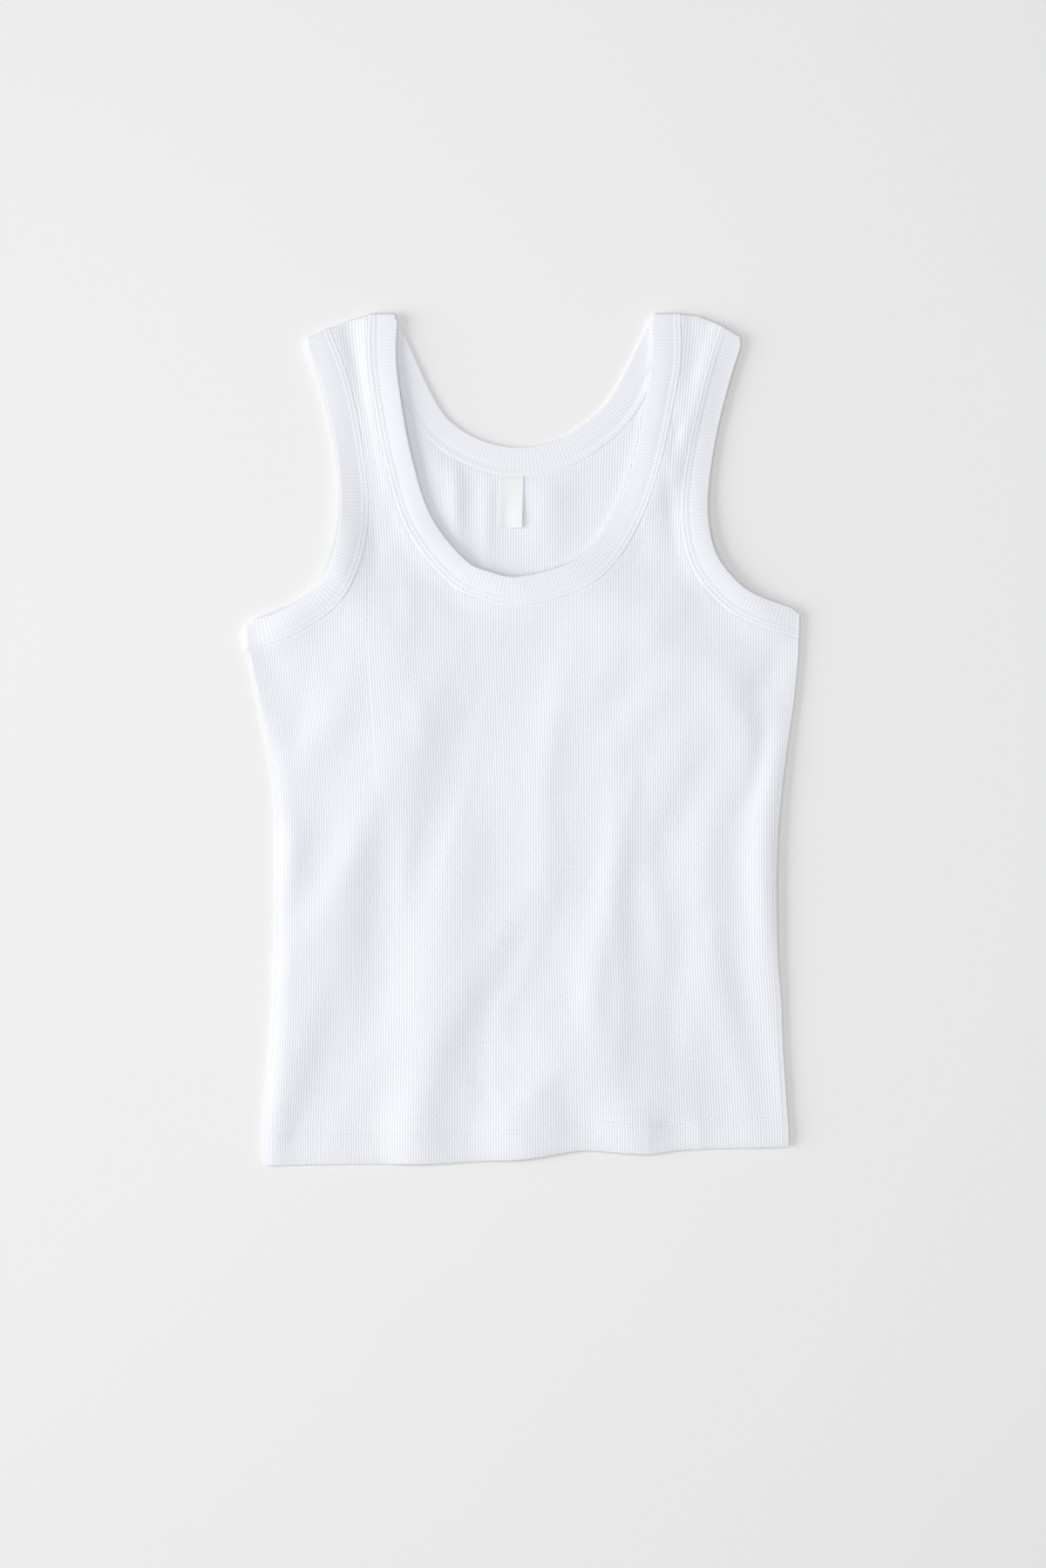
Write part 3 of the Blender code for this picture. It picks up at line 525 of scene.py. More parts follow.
def lay_grid(mesh: bmesh.types.BMesh, points: np.ndarray, knit: np.ndarray, first: int) -> None:
    """Makes a grid with Blender's own operator and lays its vertices on given points.

    Args:
        mesh: The mesh to add to. Its place and knit layers are there.
        points: Rows by columns by 3, in millimetres.
        knit: The knit coordinates in the same layout.
        first: The place number of the grid's first point.
    """
    place = mesh.verts.layers.int["place"]
    knitting = mesh.verts.layers.float_vector["knit"]
    rows, columns = points.shape[:2]
    made = bmesh.ops.create_grid(mesh, x_segments=columns - 1, y_segments=rows - 1, size=0.5)["verts"]
    flat, rib = (points.reshape(-1, 3) * MM).tolist(), knit.reshape(-1, 3).tolist()
    for vert in made:
        row, column = round((vert.co.y + 0.5) * (rows - 1)), round((vert.co.x + 0.5) * (columns - 1))
        number = row * columns + column
        vert[place] = first + number
        vert.co = flat[number]
        vert[knitting] = rib[number]


def new_mesh() -> bmesh.types.BMesh:
    """A mesh with the layers that cloth needs."""
    mesh = bmesh.new()
    mesh.verts.layers.int.new("place")
    mesh.verts.layers.float_vector.new("knit")
    return mesh


def wall_mesh(patches: Sequence[Patch]) -> bmesh.types.BMesh:
    """Joins patches into one sheet and extrudes it into a closed wall.

    Args:
        patches: The grids. Where two of them meet, their points agree.

    Returns:
        The closed mesh, with its faces turned out.
    """
    mesh = new_mesh()
    first = 0
    for patch in patches:
        lay_grid(mesh, patch.inner, patch.knit, first)
        first += patch.inner.shape[0] * patch.inner.shape[1]
    bmesh.ops.remove_doubles(mesh, verts=mesh.verts, dist=1e-6)
    everything = [*mesh.verts, *mesh.edges, *mesh.faces]
    grown = bmesh.ops.extrude_face_region(mesh, geom=everything, use_keep_orig=True)["geom"]
    outer = (np.vstack([patch.outer.reshape(-1, 3) for patch in patches]) * MM).tolist()
    place = mesh.verts.layers.int["place"]
    for vert in grown:
        if isinstance(vert, bmesh.types.BMVert):
            vert.co = outer[vert[place]]
    bmesh.ops.recalc_face_normals(mesh, faces=mesh.faces)
    return mesh


def ring_mesh(points: np.ndarray, knit: np.ndarray) -> bmesh.types.BMesh:
    """Closes a grid both ways into a ring.

    Args:
        points: Stations by points of the section by 3, in millimetres, each closed on itself.
        knit: The knit coordinates in the same layout.

    Returns:
        The closed mesh, with its faces turned out.
    """
    mesh = new_mesh()
    lay_grid(mesh, points, knit, 0)
    bmesh.ops.remove_doubles(mesh, verts=mesh.verts, dist=1e-7)
    bmesh.ops.recalc_face_normals(mesh, faces=mesh.faces)
    return mesh


def put_in_scene(name: str, data: bpy.types.ID) -> bpy.types.Object:
    """Makes an object of some data and puts it in the scene."""
    made = bpy.data.objects.new(name, data)
    bpy.context.scene.collection.objects.link(made)
    return made


def mesh_object(name: str, mesh: bmesh.types.BMesh, material: bpy.types.Material) -> bpy.types.Object:
    """Makes an object of a mesh, which is freed, and puts it in the scene.

    Args:
        name: The object's name.
        mesh: Its mesh.
        material: Its material.

    Returns:
        The object.
    """
    data = bpy.data.meshes.new(name)
    mesh.to_mesh(data)
    mesh.free()
    data.materials.append(material)
    return put_in_scene(name, data)


def add_piece(name: str, mesh: bmesh.types.BMesh, material: bpy.types.Material,
              sharp: float = 75.0) -> bpy.types.Object:
    """Makes a finished piece that rides on the garment.

    Args:
        name: The piece's name.
        mesh: Its mesh, which is freed.
        material: Its material.
        sharp: The angle in degrees past which an edge stays sharp.

    Returns:
        The object.
    """
    piece = mesh_object(name, mesh, material)
    piece.data.shade_smooth()
    piece.data.set_sharp_from_angle(angle=math.radians(sharp))
    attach(piece, BODY)
    LOG.info("%s: %d vertices, %d faces", name, len(piece.data.vertices), len(piece.data.polygons))
    return piece


# ------------------------------------------------------------------------------ finishes


class Nodes:
    """Short ways to build a material's nodes."""

    def __init__(self, name: str) -> None:
        """Makes a new material with its Principled shader."""
        self.material = bpy.data.materials.new(name)
        self.material.use_nodes = True
        self.tree = self.material.node_tree
        self.shader = self.tree.nodes["Principled BSDF"]

    def add(self, kind: str, **values: object) -> bpy.types.Node:
        """Adds a node of that Blender type, with its properties by name."""
        node = self.tree.nodes.new(kind)
        for name, value in values.items():
            setattr(node, name, value)
        return node

    def link(self, output: bpy.types.NodeSocket, socket: bpy.types.NodeSocket) -> None:
        """Joins an output to an input."""
        self.tree.links.new(output, socket)

    def place(self) -> bpy.types.NodeSocket:
        """The object coordinates."""
        return self.add("ShaderNodeTexCoord").outputs["Object"]

    def parts(self, vector: bpy.types.NodeSocket) -> Sequence[bpy.types.NodeSocket]:
        """The three parts of a vector."""
        node = self.add("ShaderNodeSeparateXYZ")
        self.link(vector, node.inputs["Vector"])
        return node.outputs

    def math(self, operation: str, first: object, second: object = None) -> bpy.types.NodeSocket:
        """Adds a Math node.

        Args:
            operation: Its operation.
            first: A socket or a number.
            second: A socket, a number or nothing.

        Returns:
            Its output.
        """
        node = self.add("ShaderNodeMath", operation=operation)
        for index, value in enumerate((first, second)):
            if isinstance(value, bpy.types.NodeSocket):
                self.link(value, node.inputs[index])
            elif value is not None:
                node.inputs[index].default_value = value
        return node.outputs[0]

    def waves(self, along: object, turns: float) -> bpy.types.NodeSocket:
        """A sine of a socket, which turns that many radians for each 1 of it."""
        return self.math("SINE", self.math("MULTIPLY", along, turns))

    def noise(self, vector: bpy.types.NodeSocket, scale: float,
              detail: float = 2.0) -> bpy.types.NodeSocket:
        """Adds a noise texture on a vector, with its scale and octaves, and gives its factor."""
        node = self.add("ShaderNodeTexNoise")
        self.link(vector, node.inputs["Vector"])
        node.inputs["Scale"].default_value = scale
        node.inputs["Detail"].default_value = detail
        return node.outputs["Fac"]

    def bump(self, height: bpy.types.NodeSocket, strength: float, distance: float) -> None:
        """Bumps the surface.

        Args:
            height: The height's socket.
            strength: The bump's strength.
            distance: The relief in metres that a height of 1 stands for.
        """
        node = self.add("ShaderNodeBump")
        node.inputs["Strength"].default_value = strength
        node.inputs["Distance"].default_value = distance
        self.link(height, node.inputs["Height"])
        self.link(node.outputs["Normal"], self.shader.inputs["Normal"])

    def finished(self, share: bpy.types.NodeSocket, colours: Sequence[Sequence[float]],
                 values: dict[str, float]) -> bpy.types.Material:
        """Colours the shader and sets its plain inputs.

        Args:
            share: The share of the second colour.
            colours: The two colours that are mixed.
            values: The plain inputs, by name.

        Returns:
            The material.
        """
        node = self.add("ShaderNodeMix", data_type="RGBA")
        self.link(share, node.inputs["Factor"])
        for socket, colour in zip("AB", colours):
            node.inputs[socket].default_value = (*colour, 1.0)
        self.link(node.outputs["Result"], self.shader.inputs["Base Color"])
        for name, value in values.items():
            self.shader.inputs[name].default_value = value
        return self.material


@dataclass(frozen=True)
class JerseyFinish:
    """Fine white rib jersey: its own colour on the rib crests, a darker colour in the grooves that is
    painted shade, its nap and its loops.
    """

    name: str
    # the groove colour is the cloth's colour darkened: painted shade in the rib grooves; the crest colour
    # is the cloth's own
    groove_painted_shade: tuple[float, float, float] = (0.826, 0.834, 0.882)
    crest: tuple[float, float, float] = (0.866, 0.874, 0.918)
    roughness: float = 0.92
    sheen: float = 0.12
    sheen_roughness: float = 0.6
    specular: float = 0.2
    mottle: Plan = (0.85, 0.3)  # the least share of a crest's colour, and how much the mottling adds
    mottle_scale: float = 55.0
    mottle_detail: float = 3.0
    slub: float = 0.35
    slub_scale: float = 900.0
    course: float = 0.9  # the height of one loop of the knit
    slant: float = 1.6  # how many courses a loop's legs slant across one rib
    loop_relief: float = 0.00002
    fuzz_relief: float = 0.00002

    def material(self) -> bpy.types.Material:
        """Builds the material, whose pattern follows the knit coordinates: ribs, millimetres, crest."""
        nodes = Nodes(self.name)
        knit = nodes.add("ShaderNodeAttribute", attribute_name="knit")
        rib, course, crest = nodes.parts(knit.outputs["Vector"])
        place = nodes.place()

        mottle = nodes.noise(place, self.mottle_scale, self.mottle_detail)
        slub = nodes.noise(place, self.slub_scale)
        least, most = self.mottle
        mottled = nodes.math("ADD", nodes.math("MULTIPLY", mottle, most), least)
        slubbed = nodes.math("MULTIPLY", nodes.math("SUBTRACT", slub, 0.5), self.slub)
        # by the crest share, mixes from the painted groove shade up to the crest colour, with random
        # mottling and slubs
        share = nodes.math("ADD", nodes.math("MULTIPLY", crest, mottled), slubbed)

        across = nodes.math("ABSOLUTE", nodes.math("SUBTRACT", nodes.math("FRACT", rib), 0.5))
        legs = nodes.math("MULTIPLY", across, self.slant)
        place_in_loop = nodes.math("ADD", nodes.math("DIVIDE", course, self.course), legs)
        loops = nodes.math("MULTIPLY", nodes.waves(place_in_loop, 2.0 * math.pi), 0.5)
        fuzz = nodes.math("MULTIPLY", slub, self.fuzz_relief / self.loop_relief)
        nodes.bump(nodes.math("ADD", loops, fuzz), 1.0, self.loop_relief)
        return nodes.finished(share, (self.groove_painted_shade, self.crest), {
            "Roughness": self.roughness, "Specular IOR Level": self.specular,
            "Sheen Weight": self.sheen, "Sheen Roughness": self.sheen_roughness,
        })


@dataclass(frozen=True)
class ThreadFinish:
    """White sewing thread, a little brighter than the cloth, with the twist of its plies, and painted
    shade where they dip.
    """

    name: str = "sewing_thread"
    # the darker colour goes where the bump is low: painted shade between the plies
    hollow_shade: tuple[float, float, float] = (0.82, 0.825, 0.85)
    light: tuple[float, float, float] = (0.90, 0.905, 0.925)
    roughness: float = 0.7
    sheen: float = 0.1
    ply_scale: float = 2600.0
    bump: float = 0.6
    relief: float = 0.00004

    def material(self) -> bpy.types.Material:
        """Builds the material on object coordinates."""
        nodes = Nodes(self.name)
        plies = nodes.noise(nodes.place(), self.ply_scale, 1.0)
        nodes.bump(plies, self.bump, self.relief)
        values = {"Roughness": self.roughness, "Sheen Weight": self.sheen}
        # the noise that bumps the plies also darkens their low parts: painted shade
        return nodes.finished(plies, (self.hollow_shade, self.light), values)


@dataclass(frozen=True)
class LabelFinish:
    """Plain woven satin tape: long floats along it and a fine weft across it, with painted shade where the
    weave dips.
    """

    name: str = "label_satin_tape"
    # the darker colour goes where the weave is low: painted shade between the threads
    hollow_shade: tuple[float, float, float] = (0.80, 0.805, 0.83)
    light: tuple[float, float, float] = (0.865, 0.868, 0.885)
    roughness: float = 0.45
    specular: float = 0.35
    weft: float = 0.45
    warps_to_wefts: float = 1.3
    bump: float = 0.5
    relief: float = 0.00004

    def material(self) -> bpy.types.Material:
        """Builds the material on object coordinates."""
        nodes = Nodes(self.name)
        across, along, _ = nodes.parts(nodes.place())
        turns = 2.0 * math.pi / (self.weft * MM)
        floats, weft = nodes.waves(along, turns), nodes.waves(across, turns * self.warps_to_wefts)
        both = nodes.math("ADD", floats, weft)
        weave = nodes.math("MULTIPLY", nodes.math("ADD", both, 2.0), 0.25)  # from -2..2 to 0..1
        nodes.bump(weave, self.bump, self.relief)
        values = {"Roughness": self.roughness, "Specular IOR Level": self.specular}
        # the weave that bumps the tape also darkens its low parts: painted shade
        return nodes.finished(weave, (self.hollow_shade, self.light), values)


@dataclass(frozen=True)
class FloorFinish:
    """A plain pale paper surface."""

    name: str = "pale_paper"
    colour: tuple[float, float, float] = (0.862, 0.862, 0.862)
    dimmed: float = 0.985
    tone_scale: float = 3.0
    roughness: float = 0.95
    specular: float = 0.1

    def material(self) -> bpy.types.Material:
        """Builds the material."""
        nodes = Nodes(self.name)
        dim = tuple(self.dimmed * part for part in self.colour)
        values = {"Roughness": self.roughness, "Specular IOR Level": self.specular}
        tone = nodes.noise(nodes.place(), self.tone_scale)
        return nodes.finished(tone, (dim, self.colour), values)


# ------------------------------------------------------------------------------ panels


@dataclass(frozen=True)
class Grain:
    """How the ribs run: nearly upright, out a little in the straps, packed where a side cuts them off.

    A pair is for the left and the right side, or else the two ends of a stretch.
    """

    starts: Plan  # where the outermost ribs lie on the chest
    edges: Sequence[Callable[[np.ndarray], np.ndarray]]  # how the sides run by height
    lean: Plan = (13.0, 5.0)  # how far the straps' ribs lean out
    lean_rise: Plan = (110.0, 290.0)
    lean_reach: Plan = (30.0, 80.0)
    outer_lean: float = 6.0  # how much further the straps' outermost ribs do
    outer_rise: Plan = (176.0, 290.0)
    outer_reach: Plan = (82.0, 118.0)
    outer_most: float = 1.2
    waist: float = -98.0
    above_waist: Plan = (0.5, 0.0)  # how much of the sides' run in the ribs follow
    below_waist: Plan = (0.4, 1.0)
    packed: float = 2.5  # the strip along a side in which the ribs that it cuts off are packed
    rounds: int = 16  # after which the inverse has settled

    def followed(self, side: int, y: np.ndarray) -> np.ndarray:
        """How far the outermost rib of a side, 0 or 1, moves with it at each height."""
        start, edge = self.starts[side], self.edges[side]
        upper = edge(np.maximum(y, self.waist)) - start
        lower = edge(np.minimum(y, self.waist)) - edge(self.waist)
        return self.above_waist[side] * upper + self.below_waist[side] * lower

    def x(self, u: np.ndarray, y: np.ndarray) -> np.ndarray:
        """Where a rib lies.

        Args:
            u: The rib's place across the chest.
            y: The height.

        Returns:
            Its x at that height.
        """
        share = np.clip((u - self.starts[0]) / (self.starts[1] - self.starts[0]), 0.0, 1.0)
        x = np.array(u, dtype=float)
        for side, near in enumerate(((1.0 - share) ** 2, share**2)):
            x = x + near * self.followed(side, y)
        far, out = np.abs(u), np.where(u < 0.0, *self.lean)
        out = out * smooth_step(y, *self.lean_rise) * smooth_step(far, *self.lean_reach)
        low, high = self.outer_rise
        up = np.clip((y - low) / (high - low), 0.0, self.outer_most)
        out = out + self.outer_lean * smooth_step(far, *self.outer_reach) * up**2
        return self.cut_off(x + np.sign(u) * out, y)

    def cut_off(self, x: np.ndarray, y: np.ndarray) -> np.ndarray:
        """Packs the ribs that would run out over a side into the strip along it.

        Args:
            x: Where the ribs would lie.
            y: The heights.

        Returns:
            Where they lie.
        """
        for side, sign in enumerate((-1.0, 1.0)):
            edge = self.edges[side](y)
            over = np.maximum(sign * (self.starts[side] + self.followed(side, y) - edge), 0.0)
            share = np.clip((sign * (x - edge) + self.packed) / (self.packed + over), 0.0, None)
            x = np.where(sign * (x - edge) > -self.packed, edge + sign * self.packed * (share - 1.0), x)
        return x

    def u(self, x: np.ndarray, y: np.ndarray) -> np.ndarray:
        """The rib that lies at each place, the inverse of x."""
        u = np.array(x, dtype=float)
        for _ in range(self.rounds):
            u = u - (self.x(u, y) - x)
        return u


@dataclass
class Panel:
    """One body panel: ribs from the hem to the neckline, and two straps up to the shoulder folds."""

    layer: Layer
    name: str
    node: str
    cut_size: Plan
    cut_area: float
    pattern: Pattern = field(default_factory=Pattern)
    lie: Lie = field(default_factory=Lie)
    knit: RibKnit = field(default_factory=RibKnit)
    body_rows: int = 51
    strap_rows: int = 32
    turn_rows: int = 8
    side_columns: int = 5
    hem_rises: tuple[float, ...] = (0.0, 0.3, 1.0, 5.0, 12.0, 17.2, 18.2, 19.2, 20.0, 20.8, 21.5, 22.6)
    seam_falls: tuple[float, ...] = (7.5, 5.0, 4.2, 3.4, 0.0)  # the last rows, down from the bindings
    hem_level: float = -290.0  # the height at which the ribs meet the hem
    hem_depth: float = 20.8
    hem_step: float = 0.8  # how wide the cut edge of the hem's turn is
    hem_relief: float = 0.3
    hem_raise: float = 0.0
    hem_droop: float = 0.8
    droop_reach: float = 3.5
    hem_rounding: float = 0.5
    needle_rows: Plan = (18.2, 20.8)
    needle_dip: Plan = (0.1, 0.7)  # how deep and how wide the thread draws the cloth in
    side_inset: Plan = (3.8, 2.55)
    back_edge: Plan = (2.5, 7.0)  # how far in from the back's sides its ribs begin, and its dip there
    back_dip: float = 0.15
    thin_wall: float = 1.0
    seam_edge: Plan = (-0.3, 0.15)  # where the cloth thins out to go in under a binding
    # the packed ribs' crest share sets their height and also how much painted groove shade they get
    packed_crest: float = 0.55  # how high ribs stand that are packed along a side
    packed_spread: Plan = (0.1, 0.8)
    strap_base: float = 0.0  # how far out the straps part from the neckline; 0 at the armhole's waist
    strap_end: float = 130.0
    least_strap: float = 1.2
    tail: float = 8.0  # how far behind the shoulder fold the seam lies
    seam_gap: float = 0.3
    on_crest: float = 0.9  # the least crest share of the columns that the hem's thread runs over

    def __post_init__(self) -> None:
        """Works out the panel's edges and its columns."""
        pattern, (left, right) = self.pattern, self.side_inset
        self.grain = Grain(
            (pattern.left_edge[-1] + left, pattern.right_edge[-1] - right),
            (lambda y: pattern.edge(Side.LEFT, y) + left, lambda y: pattern.edge(Side.RIGHT, y) - right),
        )
        self.lines = self.pattern.lines(self.layer)
        neck, arm_left, arm_right = (line.line(self.pattern.widths.tuck) for line in self.lines)
        neck = self.along_grain(neck)
        low = int(np.argmin(neck.points[:, 1]))
        self.neck_halves = {
            Side.LEFT: self.monotone(neck.points[low::-1], Side.LEFT),
            Side.RIGHT: self.monotone(neck.points[low:], Side.RIGHT),
        }
        self.arm_tops, self.arm_feet, self.waist = {}, {}, {}
        for side, arm in ((Side.LEFT, arm_left), (Side.RIGHT, arm_right)):
            points = self.along_grain(arm).points
            inmost = int(np.argmin(side.value * points[:, 0]))
            self.arm_tops[side] = self.monotone(points[inmost::-1], side)
            self.arm_feet[side] = self.monotone(points[inmost:], side)
            self.waist[side] = points[inmost]
        self.set_columns()

    def along_grain(self, curve: PlanCurve) -> PlanCurve:
        """The curve with each point's x replaced by the rib that lies there."""
        u = self.grain.u(curve.points[:, 0], curve.points[:, 1])
        return PlanCurve(np.stack((u, curve.points[:, 1]), axis=1))

    @staticmethod
    def monotone(points: np.ndarray, side: Side) -> PlanCurve:
        """The line with its turns back in x straightened, as it runs outwards."""
        out = np.maximum.accumulate(side.value * points[:, 0])
        keep = np.concatenate(([True], np.diff(out) > 1e-6))
        keep[-1] = True
        x = side.value * out[keep] + side.value * 1e-6 * np.arange(keep.sum())
        return PlanCurve(np.stack((x, points[keep, 1]), axis=1))

    def set_columns(self) -> None:
        """Places the columns across the chest, and finds where the body's part of each one ends."""
        split: dict[Side, np.ndarray] = {}
        for side in Side:
            half = self.neck_halves[side].points
            if self.strap_base:
                split[side] = half[int(np.argmin(np.abs(np.abs(half[:, 0]) - self.strap_base)))]
            else:
                split[side] = half[int(np.argmin(np.abs(half[:, 1] - self.waist[side][1])))]
        left, right = self.grain.starts
        marks = [left, self.waist[Side.LEFT][0], split[Side.LEFT][0], split[Side.RIGHT][0],
                 self.waist[Side.RIGHT][0], right]
        places, numbers, keys = [np.array([left])], [np.array([0.0])], [0]
        count = 0.0
        for start, end in zip(marks, marks[1:]):
            ribs = max(1, round((end - start) / self.knit.pitch))
            own = self.knit.numbers(ribs)[1:]
            places.append(start + (end - start) * own / ribs)
            numbers.append(count + own)
            count += ribs
            keys.append(keys[-1] + len(own))
        self.columns, self.numbers, self.keys = np.concatenate(places), np.concatenate(numbers), keys
        tops = np.empty_like(self.columns)
        for side, outer, inner in ((Side.LEFT, slice(0, keys[1] + 1), (keys[1], keys[2])),
                                   (Side.RIGHT, slice(keys[4], None), (keys[4], keys[3]))):
            tops[outer] = self.arm_feet[side].height_at(self.columns[outer])
            base = slice(min(inner), max(inner) + 1)
            ends = np.array(sorted((tuple(self.waist[side]), tuple(split[side]))))
            tops[base] = np.interp(self.columns[base], ends[:, 0], ends[:, 1])
        middle = slice(keys[2], keys[3] + 1)
        u = self.columns[middle]
        tops[middle] = np.where(u < 0, self.neck_halves[Side.LEFT].height_at(u),
                                self.neck_halves[Side.RIGHT].height_at(u))
        self.tops = tops

    def hem_y(self) -> np.ndarray:
        """The hem's lower edge under each column."""
        level = np.full_like(self.columns, self.hem_level)
        return self.pattern.hem_at(self.grain.x(self.columns, level)) + self.hem_raise

    def body_plan(self) -> tuple[np.ndarray, np.ndarray, np.ndarray]:
        """The body's grid in plan.

        Returns:
            The x and y of each point, and each point's height above the hem's edge.
        """
        low, near_top = np.array(self.hem_rises), np.array(self.seam_falls)
        hem = self.hem_y()
        length = self.tops - near_top[0] - hem - low[-1]
        shares = (np.arange(1, self.body_rows + 1) / self.body_rows)[:, None]
        rise = np.vstack((
            np.repeat(low[:, None], len(self.columns), axis=1),
            low[-1] + shares * length,
            self.tops - hem - near_top[1:, None],
        ))
        y = hem + rise
        return self.grain.x(self.columns, y), y, rise

    def seam_distance(self, x: np.ndarray, y: np.ndarray) -> np.ndarray:
        """The distance out from the nearest binding's seam, negative beneath the binding."""
        points = np.vstack([line.edge.points[::3] for line in self.lines])
        widths = np.concatenate([line.widths[::3] for line in self.lines])
        flat = np.stack((x.ravel(), y.ravel()), axis=1)
        nearest = np.empty(len(flat))
        batch = 4000  # as many places at a time as memory holds with ease
        for start in range(0, len(flat), batch):
            gaps = flat[start : start + batch, None, :] - points[None, :, :]
            nearest[start : start + batch] = (np.sqrt((gaps**2).sum(axis=2)) - widths).min(axis=1)
        return nearest.reshape(x.shape)

    def flat_patch(self, x: np.ndarray, y: np.ndarray, rise: np.ndarray, columns: slice) -> Patch:
        """A patch that lies in its own layer.

        Args:
            x: Places across.
            y: Places along.
            rise: Heights above the hem's edge.
            columns: Which of the panel's columns they are.

        Returns:
            The patch.
        """
        distance = self.seam_distance(x, y)
        lift = 1.0 - smooth_step(distance, 0.0, self.lie.seam_lift_reach)
        middle = (self.lie.front if self.layer is Layer.FRONT else self.lie.back)(x, y, lift)
        numbers = np.broadcast_to(self.numbers[columns], x.shape)
        spread = np.gradient(x, axis=1) / np.gradient(self.columns[columns])
        open_knit = smooth_step(spread, *self.packed_spread)
        # the crest share also drives the material's colour: painted shade in the grooves
        crest = self.packed_crest + (self.knit.crest(numbers) - self.packed_crest) * open_knit
        free = smooth_step(distance, *self.seam_edge)
        if self.layer is Layer.FRONT:
            middle = middle - self.hem_droop * (1.0 - smooth_step(rise, 0.0, self.droop_reach))
        else:
            side = smooth_step(self.pattern.inside(x, y), *self.back_edge)
            middle, free = middle - self.back_dip * (1.0 - side), free * side
        plain = self.thin_wall / 2 + (self.lie.wall - self.thin_wall) / 2 * free
        ribbed = plain + self.knit.relief * crest * free + self.hem_form(rise)
        upper = np.stack((x, y, middle + ribbed), axis=-1)
        lower = np.stack((x, y, middle - plain), axis=-1)
        return Patch(lower, upper, np.stack((numbers, rise, crest), axis=-1))

    def hem_form(self, rise: np.ndarray) -> np.ndarray:
        """What the turned-up hem adds to the outer face, by the height above its edge."""
        inside = 1.0 - smooth_step(rise, self.hem_depth, self.hem_depth + self.hem_step)
        edge = self.hem_rounding * (1.0 - np.sqrt(np.clip(rise, 0.0, 1.0)))
        depth, width = self.needle_dip
        sewn = depth * sum(np.exp(-(((rise - row) / width) ** 2)) for row in self.needle_rows)
        return self.hem_relief * inside - edge - sewn

    def body(self) -> Patch:
        """The body's patch, from the hem to the neckline and the straps' bases."""
        x, y, rise = self.body_plan()
        patch = self.flat_patch(x, y, rise, slice(None))
        return self.turned_sides(patch) if self.layer is Layer.FRONT else patch

    def turned_sides(self, patch: Patch) -> Patch:
        """Carries the front's two sides down round the back's edges.

        Args:
            patch: The flat body.

        Returns:
            The patch with its turned columns added on both sides.
        """
        angles = np.linspace(0.0, math.pi / 2, self.side_columns + 1)[1:]
        made: dict[Side, Patch] = {}
        for side, column in ((Side.LEFT, 0), (Side.RIGHT, -1)):
            reach, squareness = self.lie.side_turn[column], self.lie.squareness[column]
            middle = (patch.outer[:, column, 2] + patch.inner[:, column, 2])[:, None] / 2
            radius = middle - self.lie.side_foot
            faces = []
            for face in (patch.inner, patch.outer):
                half = face[:, column, 2][:, None] - middle
                out = np.sin(angles) ** squareness * (reach + half)
                out = out - self.lie.side_lean[column] * (angles / angles[-1]) ** 2
                across = face[:, column, 0][:, None] + side.value * out
                height = self.lie.side_foot + np.cos(angles) ** squareness * (radius + half)
                along = np.broadcast_to(face[:, column, 1][:, None], across.shape)
                faces.append(np.stack((across, along, height), axis=-1))
            knit = np.repeat(patch.knit[:, column][:, None, :], len(angles), axis=1)
            order = slice(None, None, -1) if side is Side.LEFT else slice(None)
            made[side] = Patch(*(part[:, order] for part in (*faces, knit)))
        whole = (made[Side.LEFT], patch, made[Side.RIGHT])
        return Patch(*(np.concatenate([getattr(part, name) for part in whole], axis=1)
                       for name in ("inner", "outer", "knit")))

    def strap(self, side: Side) -> tuple[Patch, int]:
        """A strap's patch, between the armhole and the neck, up to the shoulder fold.

        Args:
            side: Which strap.

        Returns:
            The patch, and how many of its columns, from the armhole inwards, reach the fold.
        """
        sign = side.value
        waist, base = (self.keys[1], self.keys[2]) if side is Side.LEFT else (self.keys[4], self.keys[3])
        fold = PlanCurve.through(self.pattern.shoulders).points
        short_by = 0.0 if self.layer is Layer.FRONT else self.tail + self.seam_gap
        grain_fold = self.along_grain(PlanCurve(fold))
        grain_fold = PlanCurve(grain_fold.points - np.array([0.0, short_by]))
        foot_at = self.arm_tops[side].height_at
        column = waist
        while self.columns[column + sign] * sign < self.strap_end:
            u = self.columns[column + sign]
            if float(foot_at(u)) > float(grain_fold.height_at(u)) - self.least_strap:
                break
            column += sign
        chosen = np.arange(column, base, -sign)
        u = self.columns[chosen]
        foot = np.where(sign * u > sign * self.columns[waist], foot_at(u), self.tops[chosen])
        top = grain_fold.height_at(u)
        neck = self.neck_halves[side]
        outmost = float(np.max(sign * neck.points[:, 0]))
        cut = sign * u < outmost
        top = np.where(cut, np.minimum(neck.height_at(u), top), top)
        reaching = int(np.count_nonzero(~cut))
        shares = (np.arange(self.strap_rows + 1) / self.strap_rows)[:, None]
        y = foot + shares * (top - foot)
        order = slice(None) if side is Side.LEFT else slice(None, None, -1)
        chosen, y = chosen[order], y[:, order]
        x = self.grain.x(self.columns[chosen], y)
        patch = self.flat_patch(x, y, y - self.hem_y()[chosen], chosen)
        return patch, reaching

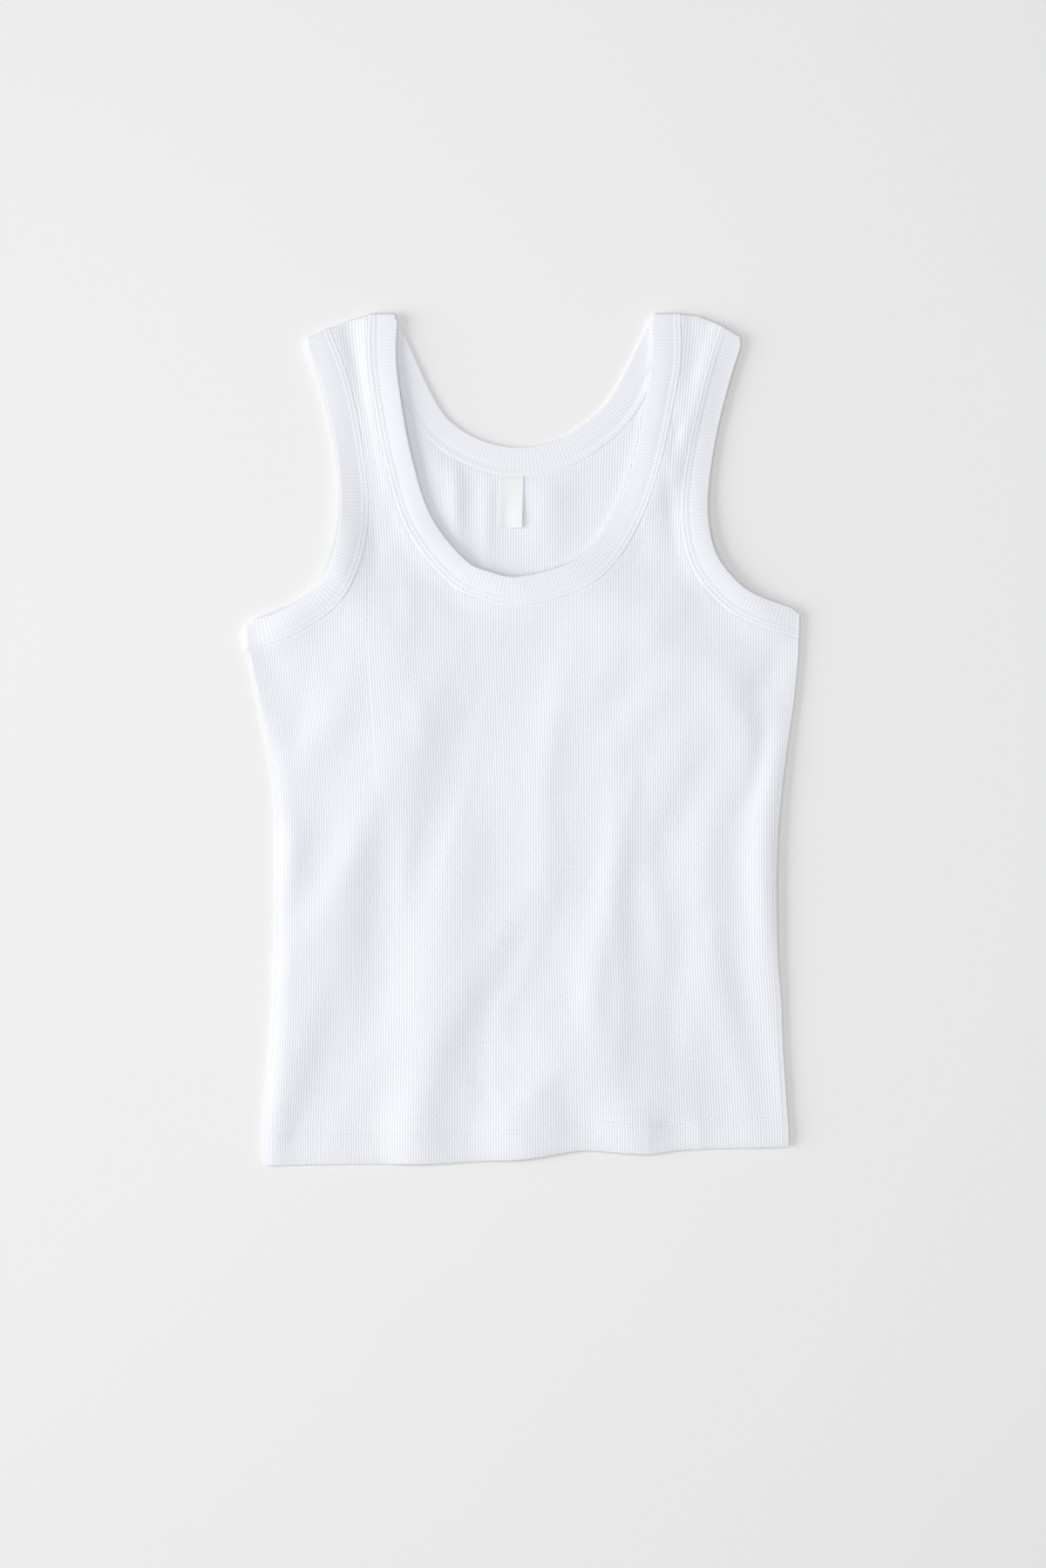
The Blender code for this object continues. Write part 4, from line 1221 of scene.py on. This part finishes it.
    def fold_over(self, patch: Patch, side: Side, reaching: int, behind: "Panel") -> Patch:
        """Carries a front strap over its fold to the shoulder seam on the back.

        Args:
            patch: The strap.
            side: Which strap.
            reaching: How many of its columns reach the fold.
            behind: The back panel.

        Returns:
            The part over the fold.
        """
        span = slice(0, reaching) if side is Side.LEFT else slice(-reaching, None)
        upper, lower, knit = patch.outer[-1, span], patch.inner[-1, span], patch.knit[-1, span]
        middle = (upper[:, 2] + lower[:, 2]) / 2
        low = self.lie.wall / 2 + self.lie.back_lift
        centre, radius = (middle + low) / 2, (middle - low) / 2
        angles = np.linspace(0.0, math.pi, self.turn_rows + 1)[:, None]
        seam = behind.strap(side)[0].outer[-1]
        share = np.linspace(0.0, 1.0, len(upper))
        seam_share = np.linspace(0.0, 1.0, len(seam))
        tail = read_rows(share, seam_share, seam[:, :2])
        tail[:, 1] += self.seam_gap
        faces = []
        for face in (lower, upper):
            half = face[:, 2] - middle
            along = face[:, 1] + np.sin(angles) * (self.lie.shoulder_turn + half)
            height = centre + np.cos(angles) * (radius + half)
            across = np.broadcast_to(face[:, 0], along.shape)
            turned = np.stack((across, along, height), axis=-1)
            end = np.column_stack((tail, low - half))[None]
            faces.append(np.concatenate((turned, end)))
        return Patch(*faces, np.repeat(knit[None], self.turn_rows + 2, axis=0))

    def build(self, finish: bpy.types.Material, behind: "Panel | None" = None) -> bpy.types.Object:
        """Builds the panel as one closed wall of cloth.

        Args:
            finish: Its material.
            behind: The back panel, for the front.

        Returns:
            The piece.
        """
        patches = [self.body()]
        for side in Side:
            strap, reaching = self.strap(side)
            patches.append(strap)
            if behind:
                patches.append(self.fold_over(strap, side, reaching, behind))
        piece = add_piece(self.name, wall_mesh(patches), finish)
        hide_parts(self.node)
        return piece

    def hem_rows(self, proud: float = 0.05) -> list[np.ndarray]:
        """The lines of the hem's two rows of stitches, over the crests of the ribs.

        Args:
            proud: How far the thread's middle stands over the crests.

        Returns:
            Two lines of points.
        """
        x, y, rise = self.body_plan()
        patch = self.flat_patch(x, y, rise, slice(None))
        crests = self.knit.crest(self.numbers) > self.on_crest
        rows = [int(np.argmin(np.abs(rise[:, 0] - height))) for height in self.needle_rows]
        return [patch.outer[row, crests] + np.array([0.0, 0.0, proud]) for row in rows]

    def declare(self, piece: bpy.types.Object, stitches: bpy.types.Object, beneath: Sequence[str]) -> None:
        """Takes the panel's piece, its stitches and what it lies on, and does nothing with them."""


# ------------------------------------------------------------------------------ bindings


@dataclass(frozen=True)
class Stations:
    """Places along a binding: the free edge, the ways across, the widths and the rib counts."""

    points: np.ndarray
    ways: np.ndarray
    widths: np.ndarray
    numbers: np.ndarray

    def backwards(self) -> "Stations":
        """The same stations from the other end."""
        return Stations(self.points[::-1], self.ways[::-1], self.widths[::-1], self.numbers[::-1])

    def repeated(self, index: int, count: int) -> "Stations":
        """One station many times, with the ribs counted on."""
        parts = (self.points, self.ways, self.widths)
        same = (np.repeat(part[index][None], count, axis=0) for part in parts)
        return Stations(*same, self.numbers[index] + np.arange(1, count + 1) / STATIONS_TO_A_RIB)


@dataclass
class Binding:
    """A strip of rib folded over a raw edge and coverstitched, closed into a ring."""

    name: str
    node: str
    front: EdgeLine
    back: EdgeLine
    strip: Plan
    outward: Side | None = None  # the side round which an armhole's ring turns at the underarm
    widths: BindingWidths = field(default_factory=BindingWidths)
    lie: Lie = field(default_factory=Lie)
    knit: RibKnit = field(default_factory=lambda: RibKnit(2.15, 0.2))
    turn_steps: int = 12
    undercut: float = 0.8  # how far the free edge's foot stands in from its widest line
    undercut_reach: float = 3.0
    free_edge: Sequence[SectionPoint] = ((0.01, 0.62, 0.1), (0.09, 0.9, 0.3), (0.33, 1.01, 0.7))
    slot_half: float = 0.52  # half the height of the slot that takes the panel's edge
    slot_room: float = 0.4
    sharp: float = 100.0

    def section(self) -> np.ndarray:
        """Half of the binding's section: distance in from the free edge, height, and the ribs' share.

        Returns:
            Rows from the free edge to the cut edge that lies on the panel.
        """
        row_in, row_out, whole = self.widths.inner_row, self.widths.outer_row, self.widths.whole
        full = self.widths.thickness / 2
        return np.array([
            (0.0, 0.0, 0.0), *self.free_edge,
            (1.3, full, 1.0), (4.5, full, 1.0), (8.0, full + 0.01, 1.0), (11.0, full - 0.01, 1.0),
            (row_in - 1.2, full - 0.05, 0.9), (row_in - 0.55, full - 0.15, 0.4),
            (row_in, full - 0.27, 0.0), (row_in + 0.5, full - 0.13, 0.3), (row_in + 1.0, full, 0.5),
            (row_in + 1.5, full + 0.03, 0.5), (row_in + 2.0, full - 0.02, 0.5),
            (row_out - 0.45, full - 0.14, 0.3), (row_out, full - 0.26, 0.0),
            (row_out + 0.45, full - 0.12, 0.3), (row_out + 0.95, full, 0.5),
            (row_out + 1.4, full + 0.02, 0.5),
            (whole - 0.4, full - 0.05, 0.4), (whole - 0.12, full - 0.2, 0.2), (whole, 0.6, 0.0),
        ])

    def inner_section(self) -> np.ndarray:
        """The other half, of the binding's plainer inner face, in the same layout."""
        whole, full = self.widths.whole, self.widths.thickness / 2
        return np.array([
            *self.free_edge,
            (1.3, full, 1.0), (4.5, full, 1.0), (8.0, full, 1.0), (11.0, full - 0.03, 1.0),
            (12.4, full - 0.13, 0.8), (13.4, full - 0.32, 0.5), (14.4, full - 0.30, 0.5),
            (15.4, full - 0.12, 0.8), (16.6, full - 0.03, 0.9),
            (whole - 0.7, full - 0.08, 0.8), (whole - 0.15, full - 0.22, 0.4), (whole, 0.6, 0.0),
        ])

    def profile(self) -> np.ndarray:
        """The whole section as a closed line, with the slot, its last row the same as its first."""
        lower = self.inner_section() * np.array([1.0, -1.0, 1.0])
        mouth, end = self.widths.whole - 0.02, self.widths.whole - self.widths.tuck - self.slot_room
        high = self.slot_half
        slot = np.array([(mouth, high, 0.0), (end, high, 0.0), (end, -high, 0.0), (mouth, -high, 0.0)])
        whole = np.vstack((self.section(), slot, lower[::-1]))
        return np.vstack((whole, whole[:1]))

    def stretch(self, line: EdgeLine) -> Stations:
        """The stations along one layer."""
        ribs = round(line.edge.length / self.knit.pitch)
        numbers = self.knit.numbers(ribs)
        return Stations(*line.stations(numbers / ribs * line.edge.length), numbers)

    def ring(self) -> tuple[np.ndarray, np.ndarray]:
        """The ring's points and knit coordinates, stations by section points by 3."""
        front, back = self.stretch(self.front), self.stretch(self.back).backwards()
        turns = np.linspace(0.0, math.pi, self.turn_steps + 1)[1:-1]
        up = np.array([0.0, 1.0])
        last_turn = np.array([float(self.outward.value), 0.0]) if self.outward else up
        profile = self.profile()
        parts = [
            self.placed(front, np.zeros(len(front.numbers)), up, profile),
            self.placed(front.repeated(-1, len(turns)), turns, last_turn, profile),
            self.placed(back, np.full(len(back.numbers), math.pi), up, profile),
            self.placed(front.repeated(0, len(turns)), turns[::-1], up, profile),
        ]
        parts.append(tuple(item[:1] for item in parts[0]))
        return tuple(np.concatenate(items) for items in zip(*parts))

    def placed(self, at: Stations, angles: np.ndarray, out: np.ndarray,
               profile: np.ndarray) -> tuple[np.ndarray, np.ndarray]:
        """Sets a section at each station.

        Args:
            at: The stations.
            angles: 0 on the front layer, pi on the back one, and between them round a fold.
            out: The way in plan in which a fold bulges.
            profile: Rows of distance, signed height and the ribs' share.

        Returns:
            The points and the knit coordinates.
        """
        turn = angles[:, None]
        across = profile[None, :, 0] * at.widths[:, None] / self.widths.whole
        below = 0.5 - np.cos(turn) * profile[None, :, 1] / self.widths.thickness
        across = across + self.undercut * below * (1.0 - smooth_step(across, 0.0, self.undercut_reach))
        plan = at.points[:, None, :] + at.ways[:, None, :] * across[..., None]
        top = self.lie.front(plan[..., 0], plan[..., 1], np.ones(across.shape))
        low = self.lie.wall / 2 + self.lie.back_lift
        centre, radius = (top + low) / 2, (top - low) / 2
        crest = self.knit.crest(at.numbers)[:, None]
        depth = self.knit.relief * (1.0 - crest) * profile[None, :, 2]
        half = profile[None, :, 1] - np.sign(profile[None, :, 1]) * depth
        reach = self.lie.shoulder_turn if out[1] > 0.5 else self.lie.side_turn[0 if out[0] < 0 else 1]
        bulge = np.sin(turn) * (reach + half)
        height = centre + np.cos(turn) * (radius + half)
        made = np.stack((plan[..., 0] + out[0] * bulge, plan[..., 1] + out[1] * bulge, height), axis=-1)
        number = np.broadcast_to(at.numbers[:, None], height.shape)
        # the crest share, by which the material paints shade into the grooves
        crest_for_painted_shade = np.broadcast_to(crest, height.shape)
        return made, np.stack((number, across, crest_for_painted_shade), axis=-1)

    def row_paths(self, layer: Layer, proud: float = 0.12) -> list[np.ndarray]:
        """The lines of the two rows of stitches on the outer face of a layer.

        Args:
            layer: The layer. The back one's outer face looks down.
            proud: How far the thread's middle stands over the bottom of its groove.

        Returns:
            Two lines of points.
        """
        at = self.stretch(self.front if layer is Layer.FRONT else self.back)
        angles = np.full(len(at.numbers), 0.0 if layer is Layer.FRONT else math.pi)
        section = self.section()
        rows = []
        for distance in (self.widths.inner_row, self.widths.outer_row):
            half = float(np.interp(distance, section[:, 0], section[:, 1])) + proud
            line = np.array([(distance, half, 0.0)])
            rows.append(self.placed(at, angles, np.array([0.0, 1.0]), line)[0][:, 0])
        return rows

    def build(self, finish: bpy.types.Material) -> bpy.types.Object:
        """Builds the ring.

        Args:
            finish: Its material.

        Returns:
            The piece.
        """
        piece = add_piece(self.name, ring_mesh(*self.ring()), finish, self.sharp)
        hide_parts(self.node)
        return piece

    def declare(self, piece: bpy.types.Object, stitches: bpy.types.Object) -> None:
        """Takes the ring's piece and its stitches, and does nothing with them."""


# ------------------------------------------------------------------------------ the label


@dataclass
class NeckLabel:
    """A bare woven label caught under the back neck binding, its free side a little lifted."""

    pattern: Pattern = field(default_factory=Pattern)
    lie: Lie = field(default_factory=Lie)
    width: float = 15.6
    drop: float = 35.3
    tuck: float = 3.0
    centre_x: float = -7.6
    tilt: float = 0.9
    thickness: float = 0.5
    curl: float = 1.5  # how far its free right corner lifts, and its left one
    left_curl: float = 0.35
    curl_from: Plan = (-4.0, 3.0)  # where across it each of them begins, and how far down they do
    curl_start: float = 2.0
    stand: float = 0.42  # how far it lies over the wall of the back: on its ribs
    dip: float = 0.7  # how far its end goes down under the binding, and over what stretch
    dip_reach: Plan = (-1.0, 1.5)
    columns: int = 13
    rows: int = 25
    sharp: float = 60.0

    def build(self, finish: bpy.types.Material) -> bpy.types.Object:
        """Builds the label.

        Args:
            finish: Its material.

        Returns:
            The piece.
        """
        across = np.linspace(-0.5, 0.5, self.columns)[None, :] * self.width
        down = np.linspace(-self.tuck, self.drop, self.rows)[:, None]
        seam = float(self.pattern.neck_line(Layer.BACK).line(0.0).points[:, 1].min())
        x = self.centre_x + across - self.tilt * down / self.drop
        y = seam - down + 0.0 * across
        away = smooth_step(down, self.curl_start, self.drop)
        lifted = self.curl * away * smooth_step(across, self.curl_from[0], self.width / 2)
        lifted = lifted + self.left_curl * away * smooth_step(-across, self.curl_from[1], self.width / 2)
        ground = self.lie.back(x, y, np.zeros_like(x)) + self.lie.wall / 2 + self.stand
        low = ground + lifted - self.dip * (1.0 - smooth_step(down, *self.dip_reach))
        faces = [np.stack((x, y, height), axis=-1) for height in (low, low + self.thickness)]
        tape = wall_mesh([Patch(*faces, np.zeros((self.rows, self.columns, 3)))])
        piece = add_piece("neck_label_tape", tape, finish, self.sharp)
        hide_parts("neck_label")
        return piece


# ------------------------------------------------------------------------------ sewing


@dataclass
class Coverstitch:
    """Rows of short thread stitches that lie along a line on the cloth."""

    name: str
    finish: bpy.types.Material
    length: float = 2.8
    gap: float = 0.5
    width: float = 0.42
    height: float = 0.34
    filled: float = 0.92  # the share of its step that a loop of thread fills

    def __post_init__(self) -> None:
        """Starts with no stitches."""
        self.starts: list[np.ndarray] = []
        self.ends: list[np.ndarray] = []

    def add_row(self, path: np.ndarray) -> None:
        """Adds a row of stitches.

        Args:
            path: The row's points, n by 3, in millimetres, at the stitches' middles.
        """
        steps = np.sqrt((np.diff(path, axis=0) ** 2).sum(axis=1))
        along = np.concatenate(([0.0], np.cumsum(steps)))
        count = int(along[-1] // (self.length + self.gap))
        marks = np.arange(count) * along[-1] / count
        first = marks + self.gap / 2
        for distance, into in ((first, self.starts), (first + self.length, self.ends)):
            into.append(read_rows(distance, along, path))

    def add_rows(self, paths: Iterable[np.ndarray]) -> None:
        """Adds several rows."""
        for path in paths:
            self.add_row(path)

    def build(self, slot: Slot) -> bpy.types.Object:
        """Builds all the rows as one piece: one thread loop, doubled until there are enough.

        Args:
            slot: Not used.

        Returns:
            The piece.
        """
        starts, ends = np.vstack(self.starts), np.vstack(self.ends)
        mesh = bmesh.new()
        number = mesh.verts.layers.int.new("place")
        bmesh.ops.create_uvsphere(mesh, u_segments=6, v_segments=4, radius=0.5)
        shape = Vector((self.width, self.height, (self.length + self.gap) * self.filled))
        bmesh.ops.scale(mesh, vec=shape, verts=mesh.verts)
        count = 1
        while count < len(starts):
            wanted = min(count, len(starts) - count)
            chosen = [vert for vert in mesh.verts if vert[number] < wanted]
            edges = dict.fromkeys(edge for vert in chosen for edge in vert.link_edges)
            faces = dict.fromkeys(face for vert in chosen for face in vert.link_faces)
            loops = [*chosen, *edges, *faces]
            for made in bmesh.ops.duplicate(mesh, geom=loops)["geom"]:
                if isinstance(made, bmesh.types.BMVert):
                    made[number] += count
            count += wanted
        turns = [Vector(way).to_track_quat("Z", "Y").to_matrix() for way in ends - starts]
        middles = [Vector(point) for point in (starts + ends) / 2]
        for vert in mesh.verts:
            vert.co = (turns[vert[number]] @ vert.co + middles[vert[number]]) * MM
        return add_piece(self.name, mesh, self.finish)


# ------------------------------------------------------------------------------ studio


@dataclass(frozen=True)
class SoftLight:
    """A soft square light: its place and side in metres, and its power in watts."""

    name: str
    place: tuple[float, float, float]
    size: float
    power: float

    def hang(self) -> None:
        """Adds it, turned to the garment."""
        data = bpy.data.lights.new(self.name, "AREA")
        data.shape = "SQUARE"
        data.size = self.size
        data.energy = self.power
        light = put_in_scene(self.name, data)
        light.location = self.place
        light.rotation_euler = (-Vector(self.place)).to_track_quat("-Z", "Y").to_euler()


@dataclass(frozen=True)
class Studio:
    """The pale surface, soft light from the left and the camera straight above, in metres."""

    view_height: float = 1.0788
    view_centre: Plan = (0.0, -0.031)
    camera_height: float = 2.6
    sensor: float = 36.0
    room_light: float = 0.30
    lights: tuple[SoftLight, ...] = (
        SoftLight("key", (-5.0, -0.7, 2.1), 4.0, 262.0),
        SoftLight("overhead", (0.02, 0.12, 2.3), 1.6, 24.2),
    )
    floor_size: float = 4.0
    floor_level: float = -0.0002

    def set_camera(self) -> None:
        """Looks straight down on the garment."""
        data = bpy.data.cameras.new("camera")
        data.sensor_width = self.sensor  # spans the frame's longer side, its height
        data.lens = self.sensor * self.camera_height / self.view_height
        camera = put_in_scene("camera", data)
        camera.location = (*self.view_centre, self.camera_height)
        bpy.context.scene.camera = camera

    def light_room(self) -> None:
        """Fills the room with even white light."""
        world = bpy.data.worlds.new("room")
        world.use_nodes = True
        background = world.node_tree.nodes["Background"]
        background.inputs["Color"].default_value = (1.0, 1.0, 1.0, 1.0)
        background.inputs["Strength"].default_value = self.room_light
        bpy.context.scene.world = world

    def lay_floor(self) -> None:
        """Lays the pale surface under the garment."""
        mesh = bmesh.new()
        bmesh.ops.create_grid(mesh, x_segments=8, y_segments=8, size=self.floor_size)
        bmesh.ops.translate(mesh, vec=Vector((0.0, 0.0, self.floor_level)), verts=mesh.verts)
        floor = mesh_object("floor", mesh, FloorFinish().material())

    def build(self) -> None:
        """Builds the whole studio."""
        self.set_camera()
        self.light_room()
        for light in self.lights:
            light.hang()
        self.lay_floor()
        view = bpy.context.scene.view_settings
        view.view_transform = "Standard"
        view.look = "None"


# ------------------------------------------------------------------------------ the garment


@dataclass
class TankTop:
    """The whole garment."""

    pattern: Pattern = field(default_factory=Pattern)

    def build(self) -> None:
        """Builds every piece in the order in which it is sewn."""
        jersey = JerseyFinish("rib_jersey").material()
        band = JerseyFinish("binding_rib_jersey").material()
        back = Panel(Layer.BACK, "back_cloth", "back_panel", (381.0, 575.0), 161000.0,
                     strap_base=80.0, hem_raise=2.2, hem_relief=0.2)
        front = Panel(Layer.FRONT, "front_cloth", "front_panel", (385.0, 600.0), 155000.0,
                      side_inset=(0.8, 0.65))
        front_cloth, back_cloth = front.build(jersey, back), back.build(jersey)
        thread = ThreadFinish().material()
        for panel, piece, beneath in ((back, back_cloth, ()), (front, front_cloth, ("back_cloth",))):
            stitches = Coverstitch(f"{panel.layer.value}_hem_stitches", thread)
            stitches.add_rows(panel.hem_rows())
            panel.declare(piece, stitches.build(Slot.PANEL), beneath)
        for ring in self.bindings():
            stitches = Coverstitch(f"{ring.name}_stitches", thread)
            piece = ring.build(band)
            for layer in Layer:
                stitches.add_rows(ring.row_paths(layer))
            ring.declare(piece, stitches.build(Slot.BINDING))
        NeckLabel().build(LabelFinish().material())

    def bindings(self) -> list[Binding]:
        """The neck's ring and the two armholes' rings."""
        pattern = self.pattern
        rings = [Binding("neck_band", "neck_binding", pattern.neck_line(Layer.FRONT),
                         pattern.neck_line(Layer.BACK), (19.2, 740.0))]
        for side in Side:
            word = side.name.lower()
            rings.append(Binding(
                f"armhole_band_{word}", f"armhole_binding_{word}", pattern.arm_line(Layer.FRONT, side),
                pattern.arm_line(Layer.BACK, side), (19.0, 480.0), side, knit=RibKnit(2.3, 0.2),
            ))
        return rings


def main() -> None:
    """Builds the garment and the studio."""
    logging.basicConfig(level=logging.INFO, format="%(name)s: %(message)s")
    TankTop().build()
    Studio().build()


if __name__ == "__main__":
    main()
